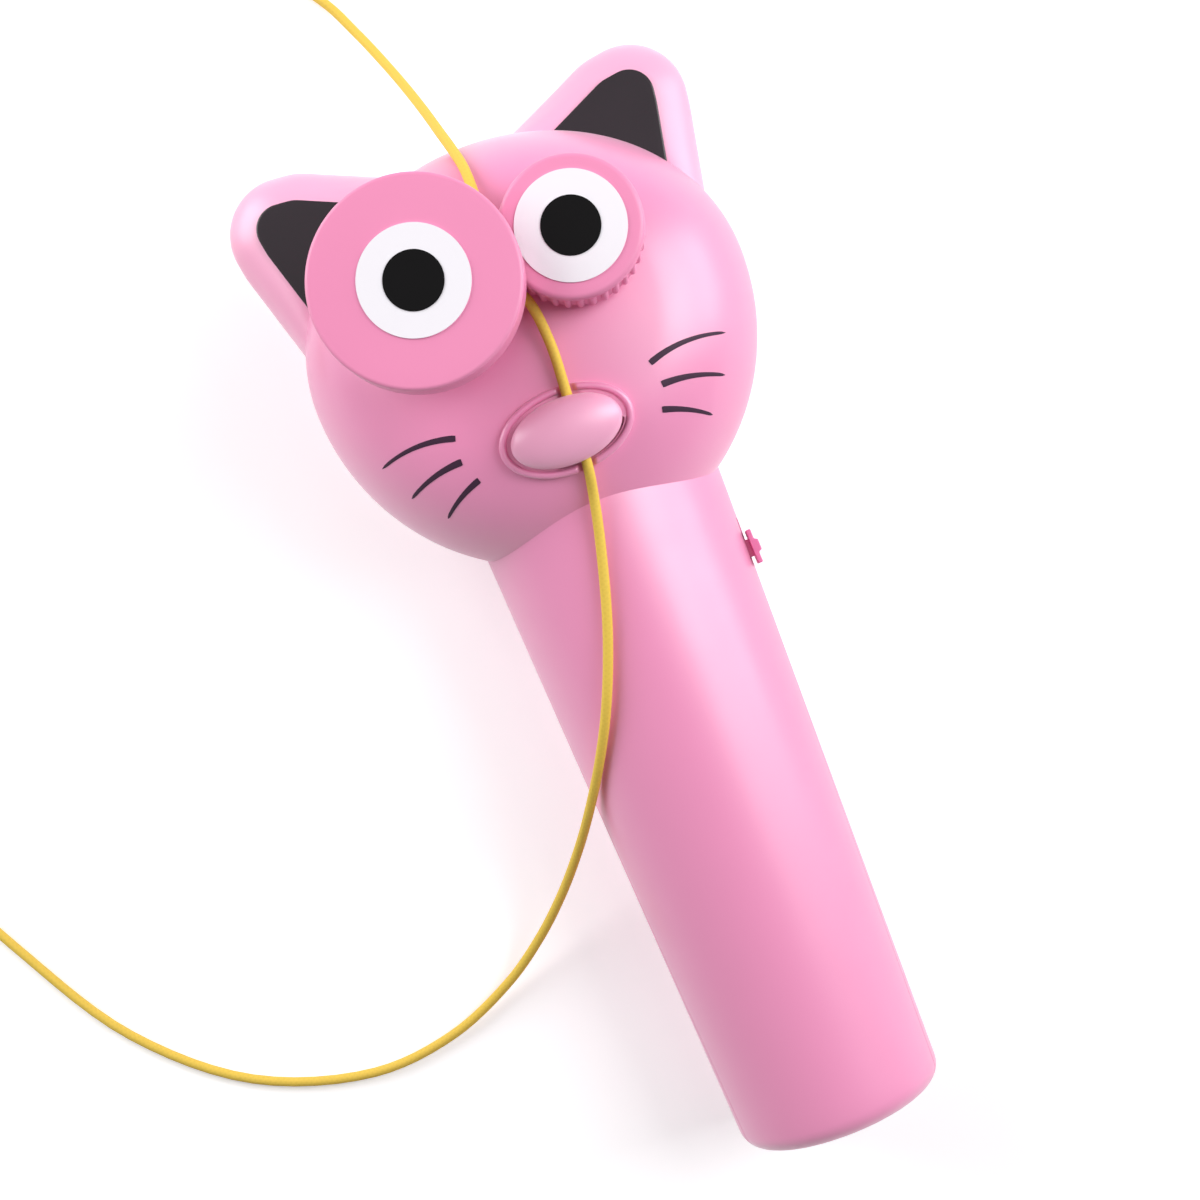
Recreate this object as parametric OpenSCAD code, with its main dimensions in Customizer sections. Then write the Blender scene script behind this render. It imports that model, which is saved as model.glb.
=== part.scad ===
// Rope launcher in the shape of a cat's head on a round handle.
// Two powered wheels, the cat's eyes, pinch a loop of rope and throw it out over the head.
// The toy lies on its back: +Z leaves the face, +Y runs from the handle to the ears, +X is the
// right side of the picture, and the floor is z = 0. All sizes are in millimetres.

/* [Handle] */
// Length of the handle from the neck to its end
handle_len = 129; // [115:1:145]
// Radius of the handle at the neck
neck_r = 25; // [23.5:0.5:27]
// Radius of the handle at its end
tail_r = 21; // [20:0.25:23]
// Rounding of the edge at the handle's end
tail_round = 4; // [2:0.5:6]
// Depth of the flat land along the handle's back
back_flat = 0.4; // [0.2:0.1:0.8]

/* [Shells] */
// Wall of the front and rear shells
wall = 2.2; // [1.8:0.1:2.6]
// How far the parting plane lies below the widest line of the head
part_drop = 4; // [3:0.5:5]

/* [Head] */
// Width of the head
head_w = 90; // [85:1:96]
// Widest line of the head above the neck
head_rise = 39; // [36:0.5:42]
// Height of the head above its widest line
head_high = 38.4; // [36:0.2:42]
// Depth of the head below its widest line, partly inside the handle
head_low = 46.5; // [44:0.5:50]
// Height of the head's widest line above the floor, and rounding of its back
head_mid = 31; // [29:0.5:34]
// Rounding of the edge round the face
face_edge_r = 24; // [22:0.5:27]
// How far the face bulges beyond its rounded edge
face_crown = 2; // [1.5:0.25:4]

/* [Ears] */
// Direction of an ear's tip from the middle of the head, in degrees
ear_angle = 44.2; // [40:0.1:48]
// Distance of the middle of an ear's tip from the edge of the head
ear_reach = 9.4; // [8:0.1:11]
// How much further the left ear stands out than the mean of both, and the right one less
ear_lead = 1.2; // [0:0.1:1.4]
// Radius of an ear's tip
ear_tip_r = 11.55; // [10:0.05:12.5]
// Radius of an ear's broad middle
ear_mid_r = 13.5; // [12:0.1:14.5]
// Distance from the middle of an ear's tip back to its broad middle
ear_mid_back = 3.2; // [2:0.1:5]
// Radius of the two lower corners of an ear
ear_root_r = 2; // [1.5:0.1:3]
// Spread of the lower corners to each side of the ear's direction, in degrees
ear_spread_angle = 35; // [32:0.5:38]
// Depth of the lower corners inside the edge of the head
ear_sink = 5; // [3:0.5:6]
// Thickness of an ear
ear_t = 13; // [10:0.5:16]
// Width of the pink rim round an ear's dark panel
ear_rim = 6.6; // [6:0.1:7.5]
// Thickness of an ear's dark panel
panel_t = 1.6; // [1.2:0.1:2]

/* [Wheels] */
// Distance between the two wheel axles
wheel_gauge = 29.4; // [28.5:0.1:31]
// Wheel axles above the neck
wheel_rise = 48; // [45:0.5:51]
// Radius of the small wheel
small_r = 13.3; // [12.5:0.1:13.6]
// Height of the small wheel
small_h = 11.5; // [10:0.5:13]
// Gap between the wheels where the rope is pinched
nip_gap = 2.5; // [2.4:0.05:3]
// Gap between the face and the underside of the wheels
wheel_gap = 0.5; // [0.4:0.1:1]
// Gap between the small wheel and the large wheel's cap
lap_gap = 0.9; // [0.7:0.1:1.5]
// Radius of the large wheel's cap
cap_r = 19.4; // [18:0.1:20]
// Thickness of the large wheel's cap
cap_t = 7; // [5:0.5:9]
// Grooves round each wheel's gripping rim
groove_count = 34; // [24:1:40]
// Radius of one groove
groove_r = 0.6; // [0.4:0.05:0.7]
// Radius of the bush that goes through the face to the motor
hub_r = 3.4; // [3:0.1:3.8]
// Diameter of a round eye label
eye_d = 20.5; // [18:0.5:21]
// Diameter of a pupil
pupil_d = 11; // [9:0.25:12]
// Thickness of a label
label_t = 0.3; // [0.2:0.05:0.4]

/* [Nose] */
// Middle of the nose above the neck
nose_rise = 15.7; // [14:0.1:17]
// Width of the oval lip round the nose
lip_w = 26.4; // [25:0.2:28]
// Height of the oval lip
lip_h = 16.4; // [15.5:0.1:17.5]
// Width of the lip's rim
lip_t = 1.4; // [1.1:0.1:1.6]
// How far the lip stands out
lip_up = 1.3; // [1:0.1:1.6]
// Width of the nose
nose_w = 21.6; // [20:0.1:22]
// Height of the nose
nose_h = 12.4; // [11:0.1:12.8]
// Crown of the nose above its edge
nose_crown = 3.4; // [2.5:0.1:4.5]
// Height of the rope's way under the nose
nose_gap = 2.9; // [2.7:0.1:3.3]

/* [Drive] */
// Width of a motor can
motor_w = 20.1; // [20:0.1:20.4]
// Thickness of a motor can across its flats
motor_t = 15.1; // [15:0.1:15.4]
// Length of a motor can
motor_len = 25; // [24:0.5:26]
// Radius of a motor shaft
shaft_r = 1; // [0.9:0.05:1.1]
// Thickness of the plate that clamps the motors
cradle_t = 3; // [2.5:0.25:3.5]

/* [Power] */
// Diameter of a battery cell
cell_d = 14.5; // [14.2:0.1:14.5]
// Length of a battery cell
cell_len = 50.5; // [49.5:0.25:51]
// Height of the cells' axes above the floor
cell_z = 14.6; // [14.4:0.1:15.2]
// Room between the battery tray and the end wall of the handle
tray_room = 11.3; // [8:0.1:13]
// Width of the battery door
door_w = 32; // [30:0.5:33]
// Gap round the battery door
door_gap = 0.3; // [0.2:0.05:0.4]
// Middle of the switch knob below the neck, switched off
switch_drop = 17; // [15:0.5:19]
// Travel of the switch knob
switch_travel = 4.5; // [3:0.25:5]
// Length of the switch knob
knob_l = 7; // [6:0.25:8]
// Width of the switch knob
knob_w = 5.6; // [4.5:0.1:6.5]
// How far the switch knob stands out
knob_up = 1.7; // [1.4:0.1:2.5]

/* [Rope] */
// Diameter of the rope
rope_d = 2; // [1.8:0.1:2]
// Layers in the coil of stored rope
coil_layers = 4; // [2:2:4]
// Turns in each layer
coil_layer_turns = 5; // [4:1:5]
// Radius of the innermost turn
coil_in = 5.7; // [5:0.1:7]
// Radius of the outermost turn
coil_out = 18.5; // [18:0.1:19]
// Height from one layer to the next
coil_step = 2.7; // [2.6:0.05:3]

/* [Hidden] */
$fn = 48;

// Colours
shell_pink = "#F7B9D9";
wheel_pink = "#F493BE";
knob_pink = "#E77FAF";
panel_black = "#2F282C";
label_white = "#F6F2F6";
rope_yellow = "#E6C65A";
steel = "#B9BCC0";
nylon = "#EFEDE6";
brass = "#C9A24A";

// Larger than the toy, for cutting planes
big = 400;

// Frame: the middle of the toy's length is y = 0
taper = atan((neck_r - tail_r) / handle_len);
handle_reach = handle_len * cos(taper) + (tail_r - tail_round) * sin(taper);
head_a = head_w / 2;
function edge_r(a) = 1 / sqrt(pow(cos(a) / head_a, 2) + pow(sin(a) / head_high, 2));
function edge_at(a, out) = (edge_r(a) + out) * [cos(a), sin(a)];
ear_tip = edge_at(ear_angle, ear_reach);
ear_top = head_rise + ear_tip.y + ear_tip_r;
neck_y = (handle_reach - ear_top) / 2;
head_y = neck_y + head_rise;
tail_y = neck_y - handle_len;
axis_z = neck_r * cos(taper) - back_flat;
part_z = head_mid - part_drop;
neck_join = 20;
tail_least = 0.8;
tail_swell = 0.04;

// Radius of the handle along its length
function handle_r(y) = neck_r - (neck_y - y) * tan(taper);

// Face: a wide dome that rolls over into a rounded edge
face_top = head_mid + face_edge_r + face_crown;
face_q = head_a - face_edge_r;
face_r = (face_q * face_q + pow(face_edge_r + face_crown, 2) - face_edge_r * face_edge_r)
  / (2 * face_crown);
function face_join(inset) = face_q / (face_r - face_edge_r) * (face_r - inset);
function from_mid(x, y) = norm([x, (y - head_y) * head_a / (y > head_y ? head_high : head_low)]);
function face_z(x, y, inset = 0) = let (r = from_mid(x, y))
  r < face_join(inset)
    ? face_top - face_r + sqrt(pow(face_r - inset, 2) - r * r)
    : head_mid + sqrt(pow(face_edge_r - inset, 2) - pow(r - face_q, 2));

// Ears
ear_roots = [for (s = [-1, 1]) edge_at(ear_angle + s * ear_spread_angle, -ear_sink)];
panel_up = 0.4;
seat_gap = 0.1;
tongue_w = 10;
tongue_t = 6;
tongue_in = 7;
tongue_out = 5;
tongue_z = part_z + 1.5;

// Wheels
wheel_x = wheel_gauge / 2;
wheel_y = neck_y + wheel_rise;
large_r = wheel_gauge - small_r - nip_gap;
wheel_base = face_top + wheel_gap;
small_top = wheel_base + small_h;
large_top = small_top + lap_gap;
cap_top = large_top + cap_t;
pupil_t = label_t / 2;
spigot_r = 7;
spigot_h = 3;
cap_edge = 0.6;
cap_pilot = 4;
bush_in = 5;
shaft_top = wheel_base + 4.1;

// Motors
motor_fit = 0.6;
motor_face = face_z(wheel_x + motor_w / 2, wheel_y + motor_t / 2, wall) - motor_fit;
motor_wall = 0.55;
boss_r = 3.1;
boss_h = 1.7;
boss_fit = 0.1;
run_fit = 0.05;
end_cap_t = 2.5;
motor_back = motor_face - motor_len - end_cap_t;
hub_foot = motor_face + boss_h + 0.5;
hub_fit = 0.7;
seat_r = hub_r + hub_fit + 1.8;
armature_r = motor_t / 2 - motor_wall - 1;
armature_in = 4.5;
tab = [2.4, 0.5, 3];
tab_out = 4;
window_r = 6.2;

// Battery bay
cell_x = cell_d / 2 + 0.15;
cell_fit = 0.25;
tray_wall = 1.2;
tray_end = 1.5;
spring_room = 4.5;
tray_len = cell_len + spring_room + 2 * tray_end;
tray_back = tail_y + wall + tray_room;
tray_front = tray_back + tray_len;
tray_half = cell_x + cell_d / 2 + cell_fit + tray_wall;
tray_roof = cell_z + cell_d / 2 + cell_fit + 1.4;
lug = [8, 6, 3];
lug_hole = 3;
tray_spots = [[0, tray_front + lug_hole], [0, tray_back - lug_hole]];
door_front = tray_front + 2;
door_top = 12;
door_rib_in = 12;
latch_w = 7;
latch_l = 6;
latch_t = 1.4;
latch_out = 4;
nub_r = 2.75;
nub_h = 1;
contact_t = 0.4;
contact_w = 9;
spring_wire = 0.5;
spring_r = 2.8;
spring_turns = 3;
spring_clear = 0.1;
spring_rings = 8;
spring_seat = contact_t + spring_clear + spring_wire / 2;
spring_len = spring_room - 2 * contact_t - 4 * spring_clear - spring_wire;
spring_line = [for (i = [0:spring_turns * spring_rings]) let (a = 360 * i / spring_rings)
  [spring_r * cos(a), spring_len * i / (spring_turns * spring_rings), spring_r * sin(a)]];

// Screws
screw_r = 1.1;
screw_head_r = 2.6;
screw_head_h = 1.8;
pilot_r = screw_r + 0.05;
hole_r = screw_r + 0.4;
post_r = 4;
screw_len = 14;
screw_seat = part_z - 8;
pilot_deep = 7;
cheek_post_in = 13;
cheek_post_drop = 7;
crown_post_in = 10;
tail_post_x = 14;
tail_post_up = 14;
shell_spots = [
  [-head_a + cheek_post_in, head_y - cheek_post_drop],
  [head_a - cheek_post_in, head_y - cheek_post_drop],
  [0, head_y + head_high - crown_post_in],
  [-tail_post_x, tray_front + tail_post_up], [tail_post_x, tray_front + tail_post_up]
];
cradle_post_r = 3;
cradle_spots = [for (x = [-1, 0, 1]) [x * (wheel_x + motor_w / 2 + 5), wheel_y]];
cradle_len = 2 * cradle_spots[2].x + 2 * cradle_post_r + 1;
cradle_w = motor_t - 1;

// Switch
switch_y = neck_y - switch_drop;
neck_w = 2.6;
neck_l = 3.6;
slide_fit = 0.3;
knob_x = handle_r(switch_y + switch_travel + knob_l / 2) + slide_fit;
switch_box = [5.7, 14, 6.4];
switch_front = 19.2;
switch_mid_y = switch_y + switch_travel / 2;
neck_deep = 2.7;
knob_dip = 0.7;
knob_rib = 2.2;
rib_t = 1.6;

// Nose, square to the face where it sits
nose_y = neck_y + nose_rise;
nose_z = face_z(0, nose_y);
nose_tilt = atan(from_mid(0, nose_y) / sqrt(face_r * face_r - pow(from_mid(0, nose_y), 2))
  * head_a / head_low);
plinth_deep = 2;
nose_leg = 6.4;
stem_r = 2;
stem_x = -7.4;
stem_len = 5;
stem_fit = 0.1;
notch_w = 3.4;
notch_up = 0.3;
notch_x = 2;
notch_turn = -7;
slit_from = -4.4;

// Rope: hand-picked points of its way over the toy and along the floor
nip = [wheel_x - small_r - nip_gap / 2, wheel_y, 63.2];
launch_route = [
  [0.4, 77, 62.2], [0.6, 90, 53.2], [-0.2, 96, 46.6], [-1.3, 101.9, 39.5], [-2.6, 108.9, 31],
  [-4.4, 117.2, 21.5], [-7, 127.2, 11.5], [-10.6, 138.3, 3.8], [-15, 148.4, 1.1], [-30, 167, 1.1],
  [-62, 183, 1.1], [-102, 181.5, 1.1], [-136, 161, 1.1], [-148.5, 141, 1.3]
];
return_route = [
  [-153.5, 92, 4.4], [-159, 58, 1.4], [-163, 26, 1.1], [-159.5, 1, 1.1], [-150.5, -18.5, 1.1],
  [-136, -42, 1.1], [-115, -60.3, 1.1], [-90, -68.6, 1.1], [-71.6, -67.3, 1.2], [-56.3, -61.2, 3],
  [-46.1, -54.4, 7.5], [-37.7, -47, 14], [-30.2, -38.9, 22.5], [-24.1, -31.2, 32],
  [-18.3, -22.8, 40.2], [-12.8, -13.2, 45.8], [-6.9, 0.5, 49], [-1.9, 16.5, 51], [0.1, 24.5, 52.6],
  [1.2, 29.8, 55.4], [1.9, 37.2, 56.6], [2.7, 44.7, 58], [3.3, 53, 59.2], [2.6, 61, 61.6],
  [1, 64.6, 62.6]
];
coil_mid = [-133, 120];
tie_t = 0.5;
tie_fit = 0.2;
tie_w = 3;
coil_base = tie_t + tie_fit + rope_d / 2;
coil_top = coil_base + (coil_layers - 1) * coil_step;
coil_turns = coil_layers * coil_layer_turns;
coil_climb = 0.25;
coil_rings = 24;
run_steps = 2;

// Wires inside the handle and the head
wire_r = 0.6;
wire_gap = 0.1;
wire_exit = 8;
wire_dip = 2;
wire_slack = 5;
wire_ends_z = motor_back - tab.z - wire_r - wire_gap;
wire_switch_x = switch_front - switch_box.x - wire_r - wire_gap;
wire_tab_y = wheel_y - tab_out;
wire_start = tray_front + wire_r + 2 * wire_gap;
wire_run = switch_mid_y - tray_front;
wire_rise = wheel_y - neck_y;
red_supply = [
  [cell_x, wire_start, cell_z], [cell_x, tray_front + wire_exit, cell_z],
  [cell_x / 2, tray_front + 0.47 * wire_run, cell_z + wire_dip],
  [0.8 * cell_x, tray_front + 0.75 * wire_run, part_z - wire_slack],
  [1.2 * cell_x, switch_mid_y - switch_box.y / 2, part_z - wire_dip / 2],
  [wire_switch_x, switch_mid_y - switch_box.y / 4, part_z]
];
red_feed = [
  [wire_switch_x, switch_mid_y + switch_box.y / 4, part_z],
  [1.2 * cell_x, switch_mid_y + 0.6 * switch_box.y, part_z - wire_dip],
  [wheel_x / 3, neck_y + wire_rise / 4, part_z - wire_slack - wire_dip],
  [wheel_x / 2, neck_y + 0.6 * wire_rise, wire_ends_z - wire_dip / 2],
  [wheel_x, wire_tab_y - wire_slack, wire_ends_z - wire_dip / 2], [wheel_x, wire_tab_y, wire_ends_z]
];
black_supply = [
  [-cell_x, wire_start, cell_z], [-cell_x, tray_front + wire_exit, cell_z],
  [-0.7 * cell_x, tray_front + 0.47 * wire_run, cell_z + wire_dip],
  [-0.7 * cell_x, switch_mid_y, part_z - wire_slack],
  [-wheel_x / 3, neck_y + wire_rise / 4, part_z - wire_slack - wire_dip],
  [-wheel_x / 2, neck_y + 0.6 * wire_rise, wire_ends_z - wire_dip / 2],
  [-wheel_x, wire_tab_y - wire_slack, wire_ends_z - wire_dip / 2], [-wheel_x, wire_tab_y, wire_ends_z]
];
link_y = wheel_y + tab_out;
link_wire = [
  [-wheel_x, link_y, wire_ends_z],
  [-wheel_x + wire_slack, link_y + wire_slack, wire_ends_z - wire_dip],
  [wheel_x - wire_slack, link_y + wire_slack, wire_ends_z - wire_dip],
  [wheel_x, link_y, wire_ends_z]
];

// Smooth curve through points, spaced by the root of their distance
function between(a, b, ta, tb, t) = (a * (tb - t) + b * (t - ta)) / (tb - ta);
function curve(p0, p1, p2, p3, u) = let (
    t1 = sqrt(norm(p1 - p0)),
    t2 = t1 + sqrt(norm(p2 - p1)),
    t3 = t2 + sqrt(norm(p3 - p2)),
    t = t1 + u * (t2 - t1),
    a1 = between(p0, p1, 0, t1, t),
    a2 = between(p1, p2, t1, t2, t),
    a3 = between(p2, p3, t2, t3, t),
    b1 = between(a1, a2, 0, t2, t),
    b2 = between(a2, a3, t1, t3, t)
  ) between(b1, b2, t1, t2, t);
function smooth(p, steps) = let (
    n = len(p),
    q = concat([2 * p[0] - p[1]], p, [2 * p[n - 1] - p[n - 2]])
  ) [for (i = [0:n - 2], k = [0:steps - 1]) curve(q[i], q[i + 1], q[i + 2], q[i + 3], k / steps),
     p[n - 1]];

// Tube along points: rings that turn as little as they can
function unit(v) = v / norm(v);
function along(p) = let (n = len(p))
  [for (i = [0:n - 1]) unit(p[min(i + 1, n - 1)] - p[max(i - 1, 0)])];
function square_to(v, t) = unit(v - (v * t) * t);
function first_side(t) = square_to(abs(t.z) < 0.9 ? [0, 0, 1] : [1, 0, 0], t);
function sides(t) = [
  for (i = 0, v = first_side(t[0]); i < len(t); i = i + 1, v = i < len(t) ? square_to(v, t[i]) : v) v
];
module tube(p, r, n) {
  t = along(p);
  v = sides(t);
  last = len(p) - 1;
  rings = [for (i = [0:last], k = [0:n - 1])
    p[i] + r * (cos(360 * k / n) * v[i] + sin(360 * k / n) * cross(t[i], v[i]))];
  skin = [for (i = [0:last - 1], k = [0:n - 1], half = [0, 1]) let (
      a = i * n + k, b = i * n + (k + 1) % n)
    half == 0 ? [a, b + n, b] : [a, a + n, b + n]];
  start_cap = [for (k = [1:n - 2]) [0, k, k + 1]];
  end_cap = [for (k = [1:n - 2]) [last * n, last * n + k + 1, last * n + k]];
  polyhedron(points = rings, faces = concat(skin, start_cap, end_cap));
}

// Coil: spirals in and out in turn, climbing where the spiral reverses
function ramp(u) = (1 - cos(180 * u)) / 2;
function coil_radius(layer, s) = let (u = layer % 2 == 0 ? s : coil_layer_turns - s)
  coil_out + u / coil_layer_turns * (coil_in - coil_out);
function coil_level(layer, s) = s > coil_layer_turns - coil_climb && layer < coil_layers - 1
  ? layer + ramp((s - coil_layer_turns + coil_climb) / (2 * coil_climb))
  : s < coil_climb && layer > 0 ? layer - 1 + ramp((s + coil_climb) / (2 * coil_climb)) : layer;
function coil_point(turn) = let (
    layer = min(floor(turn / coil_layer_turns), coil_layers - 1),
    s = turn - layer * coil_layer_turns,
    r = coil_radius(layer, s),
    a = 180 + 360 * turn
  ) [coil_mid.x + r * cos(a), coil_mid.y + r * sin(a), coil_base + coil_step * coil_level(layer, s)];
coil_start = [coil_mid.x - coil_out, coil_mid.y + rope_d, coil_base];
coil_end = [coil_mid.x - coil_out, coil_mid.y - rope_d, coil_top];
coil_line = concat(
  [coil_start],
  [for (i = [0:coil_turns * coil_rings]) coil_point(i / coil_rings)],
  [coil_end]
);
rope_end = [0, rope_d, 0];
function rope_length(p) = let (d = [for (i = [1:len(p) - 1]) norm(p[i] - p[i - 1])])
  d * [for (x = d) 1];
launch_line = concat([nip],
  smooth(concat([nip + rope_end], launch_route, [coil_start + rope_end]), run_steps), [coil_start]);
return_line = concat([coil_end],
  smooth(concat([coil_end - rope_end], return_route, [nip - rope_end]), run_steps), [nip]);

// Shared solids

module above(z) { translate([-big / 2, -big / 2, z]) cube(big); }
module below(z) { translate([-big / 2, -big / 2, z - big]) cube(big); }
module rod(r, z0, z1) { translate([0, 0, z0]) cylinder(r = r, h = z1 - z0); }
module at_spots(spots) { for (p = spots) translate([p.x, p.y, 0]) children(); }
module at_nose() { translate([0, nose_y, nose_z]) rotate([nose_tilt, 0, 0]) children(); }
module oval(w, h, z0, z1) { translate([0, 0, z0]) scale([1, h / w, 1]) cylinder(d = w, h = z1 - z0); }

// Half outline of the head, front and back, inset for its inner side
module head_outline(inset) {
  back_r = head_mid - inset;
  edge = face_edge_r - inset;
  join = face_join(inset);
  intersection() {
    union() {
      translate([0, inset]) square([head_a - head_mid, back_r]);
      translate([head_a - head_mid, head_mid]) circle(back_r, $fn = 96);
    }
    square([head_a, head_mid]);
  }
  intersection() {
    translate([0, face_top - face_r]) circle(face_r - inset, $fn = 96);
    translate([0, head_mid]) square([join, face_top]);
  }
  intersection() {
    translate([face_q, head_mid]) circle(edge, $fn = 96);
    translate([join, head_mid]) square([head_a, face_top]);
  }
}
module head_half(inset, reach) {
  scale([1, (reach - inset) / (head_a - inset), 1])
    rotate_extrude(angle = 180, $fn = 96) head_outline(inset);
}
module head_form(inset) {
  translate([0, head_y, 0]) {
    head_half(inset, head_high);
    rotate([0, 0, 180]) head_half(inset, head_low);
  }
}

// Tapered handle whose back lies along the floor
module handle_form(inset) {
  end = handle_len - inset;
  round_r = max(tail_round - inset, tail_least);
  skin = inset / cos(taper);
  mid = [neck_r - skin - (end - round_r) * tan(taper) - round_r / cos(taper), end - round_r];
  side = mid + round_r * [cos(taper), sin(taper)];
  translate([0, neck_y, axis_z]) rotate([90 + taper, 0, 0]) rotate_extrude($fn = 96) {
    polygon([
      [0, -neck_join], [neck_r - skin + neck_join * tan(taper), -neck_join],
      side, mid, [mid.x, end], [0, end]
    ]);
    translate(mid) circle(round_r + tail_swell, $fn = 48);
  }
}
module outer_body() {
  intersection() {
    union() {
      head_form(0);
      handle_form(0);
    }
    above(0);
  }
}
module inner_body() {
  intersection() {
    union() {
      head_form(wall);
      handle_form(wall);
    }
    above(wall);
  }
}
module shell_wall() {
  difference() {
    outer_body();
    inner_body();
  }
}
module screw(z, shank, head = 1) {
  rod(screw_head_r, head > 0 ? z - screw_head_h : z, head > 0 ? z : z + screw_head_h);
  rod(screw_r, head > 0 ? z - 0.1 : z - shank, head > 0 ? z + shank : z + 0.1);
}
module knob_slot() {
  translate([switch_front + 1, switch_y - neck_l / 2 - slide_fit, part_z - neck_w / 2 - slide_fit])
    cube([big, neck_l + switch_travel + 2 * slide_fit, neck_w + 2 * slide_fit]);
}
module switch_ribs(z0, z1) {
  for (y = [-1, 1])
    translate([switch_front - switch_box.x, switch_mid_y + y * (switch_box.y / 2 - 1) - rib_t / 2, z0])
      cube([handle_r(switch_y) - switch_front + switch_box.x - 0.6, rib_t, z1 - z0]);
}
module ear_tongue(fit) {
  translate([0, head_y, tongue_z]) rotate([0, 0, ear_angle])
    translate([edge_r(ear_angle) - tongue_in - fit, -tongue_w / 2 - fit, -fit])
      cube([tongue_in + tongue_out + 2 * fit, tongue_w + 2 * fit, tongue_t + 2 * fit]);
}
module both_sides() {
  children();
  mirror([1, 0, 0]) children();
}

// Casing

module front_shell() {
  color(shell_pink) difference() {
    intersection() {
      union() {
        shell_wall();
        intersection() {
          outer_body();
          union() {
            both_sides() translate([wheel_x, wheel_y, 0]) rod(seat_r, motor_face, face_top);
            at_spots(cradle_spots) rod(cradle_post_r, motor_back, face_top);
            at_spots(shell_spots) rod(post_r, part_z, face_top);
            at_spots(tray_spots) rod(cradle_post_r, tray_roof, face_top);
            switch_ribs(part_z + switch_box.z / 2, face_top);
          }
        }
        at_nose() {
          oval(lip_w, lip_h, -plinth_deep, 0);
          difference() {
            oval(lip_w, lip_h, -0.1, lip_up);
            oval(lip_w - 2 * lip_t, lip_h - 2 * lip_t, 0, 2 * lip_up);
          }
        }
      }
      above(part_z);
    }
    both_sides() translate([wheel_x, wheel_y, 0]) {
      rod(boss_r + boss_fit, motor_face - 1, hub_foot);
      rod(hub_r + hub_fit, hub_foot - 0.3, wheel_base);
    }
    at_spots(cradle_spots) rod(pilot_r, motor_back - 1, motor_back + pilot_deep);
    at_spots(shell_spots) rod(pilot_r, part_z - 1, part_z + pilot_deep);
    at_spots(tray_spots) rod(pilot_r, tray_roof - 1, tray_roof + pilot_deep);
    both_sides() ear_tongue(seat_gap);
    knob_slot();
    at_nose() {
      translate([stem_x, 0, 0]) rod(stem_r + stem_fit, -3 * plinth_deep, 1);
      translate([notch_x, 0, notch_up]) rotate([0, 0, notch_turn])
        translate([-notch_w / 2, -lip_h, 0]) cube([notch_w, 2 * lip_h, 2 * lip_up]);
    }
  }
}

module rear_shell() {
  color(shell_pink) difference() {
    intersection() {
      union() {
        shell_wall();
        intersection() {
          outer_body();
          union() {
            at_spots(shell_spots) rod(post_r, 0, part_z);
            switch_ribs(0, part_z - switch_box.z / 2);
          }
        }
      }
      below(part_z);
    }
    at_spots(shell_spots) {
      rod(screw_head_r + 0.3, -1, screw_seat);
      rod(hole_r, screw_seat - 1, part_z + 1);
    }
    knob_slot();
    translate([-door_w / 2, tail_y - big, -1]) cube([door_w, door_front - tail_y + big, door_top + 1]);
  }
}

module pebble(p, r) { translate(p) scale([1, 1, ear_t / 2 / r]) sphere(r, $fn = 28); }
module ear_form(lead) {
  hull() {
    pebble(edge_at(ear_angle, ear_reach + lead), ear_tip_r);
    pebble(edge_at(ear_angle, ear_reach + lead - ear_mid_back), ear_mid_r);
    for (p = ear_roots) pebble(p, ear_root_r);
  }
}
module ear_outline(lead) {
  hull() {
    translate(edge_at(ear_angle, ear_reach + lead)) circle(ear_tip_r, $fn = 56);
    translate(edge_at(ear_angle, ear_reach + lead - ear_mid_back)) circle(ear_mid_r, $fn = 56);
    for (p = ear_roots) translate(p) circle(ear_root_r, $fn = 24);
  }
}
module panel_form(lead, grow, t) {
  translate([0, head_y, head_mid + ear_t / 2 + panel_up - panel_t])
    linear_extrude(t) offset(r = grow - ear_rim) ear_outline(lead);
}
module one_ear(lead) {
  difference() {
    union() {
      difference() {
        translate([0, head_y, head_mid]) ear_form(lead);
        head_form(-seat_gap);
      }
      ear_tongue(0);
    }
    panel_form(lead, seat_gap, 2 * panel_t);
  }
}
module left_ear() { color(shell_pink) mirror([1, 0, 0]) one_ear(ear_lead); }
module right_ear() { color(shell_pink) one_ear(-ear_lead); }
module one_panel(lead) {
  difference() {
    panel_form(lead, 0, panel_t);
    head_form(-2 * seat_gap);
  }
}
module left_ear_panel() { color(panel_black) mirror([1, 0, 0]) one_panel(ear_lead); }
module right_ear_panel() { color(panel_black) one_panel(-ear_lead); }

// Nose cap on one leg, with the rope's way open on its right side
module nose_guide() {
  color(shell_pink) at_nose() {
    translate([0, 0, nose_gap]) intersection() {
      scale([nose_w / 2, nose_h / 2, nose_crown]) sphere(1, $fn = 96);
      above(0);
    }
    intersection() {
      oval(nose_w - 0.6, nose_h - 0.6, 0, nose_gap + 0.2);
      translate([-nose_w, -nose_h, 0]) cube([nose_w + slit_from, 2 * nose_h, nose_gap + 1]);
    }
    translate([stem_x, 0, 0]) difference() {
      rod(stem_r, -stem_len, 0.5);
      rod(screw_r, -stem_len - 1, -0.5);
    }
  }
}
module nose_screw() {
  color(steel) at_nose() translate([stem_x, 0, 0]) screw(-stem_len, stem_len - 1);
}
module shell_screws() { color(steel) at_spots(shell_spots) screw(screw_seat, screw_len); }

// Wheels

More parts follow.
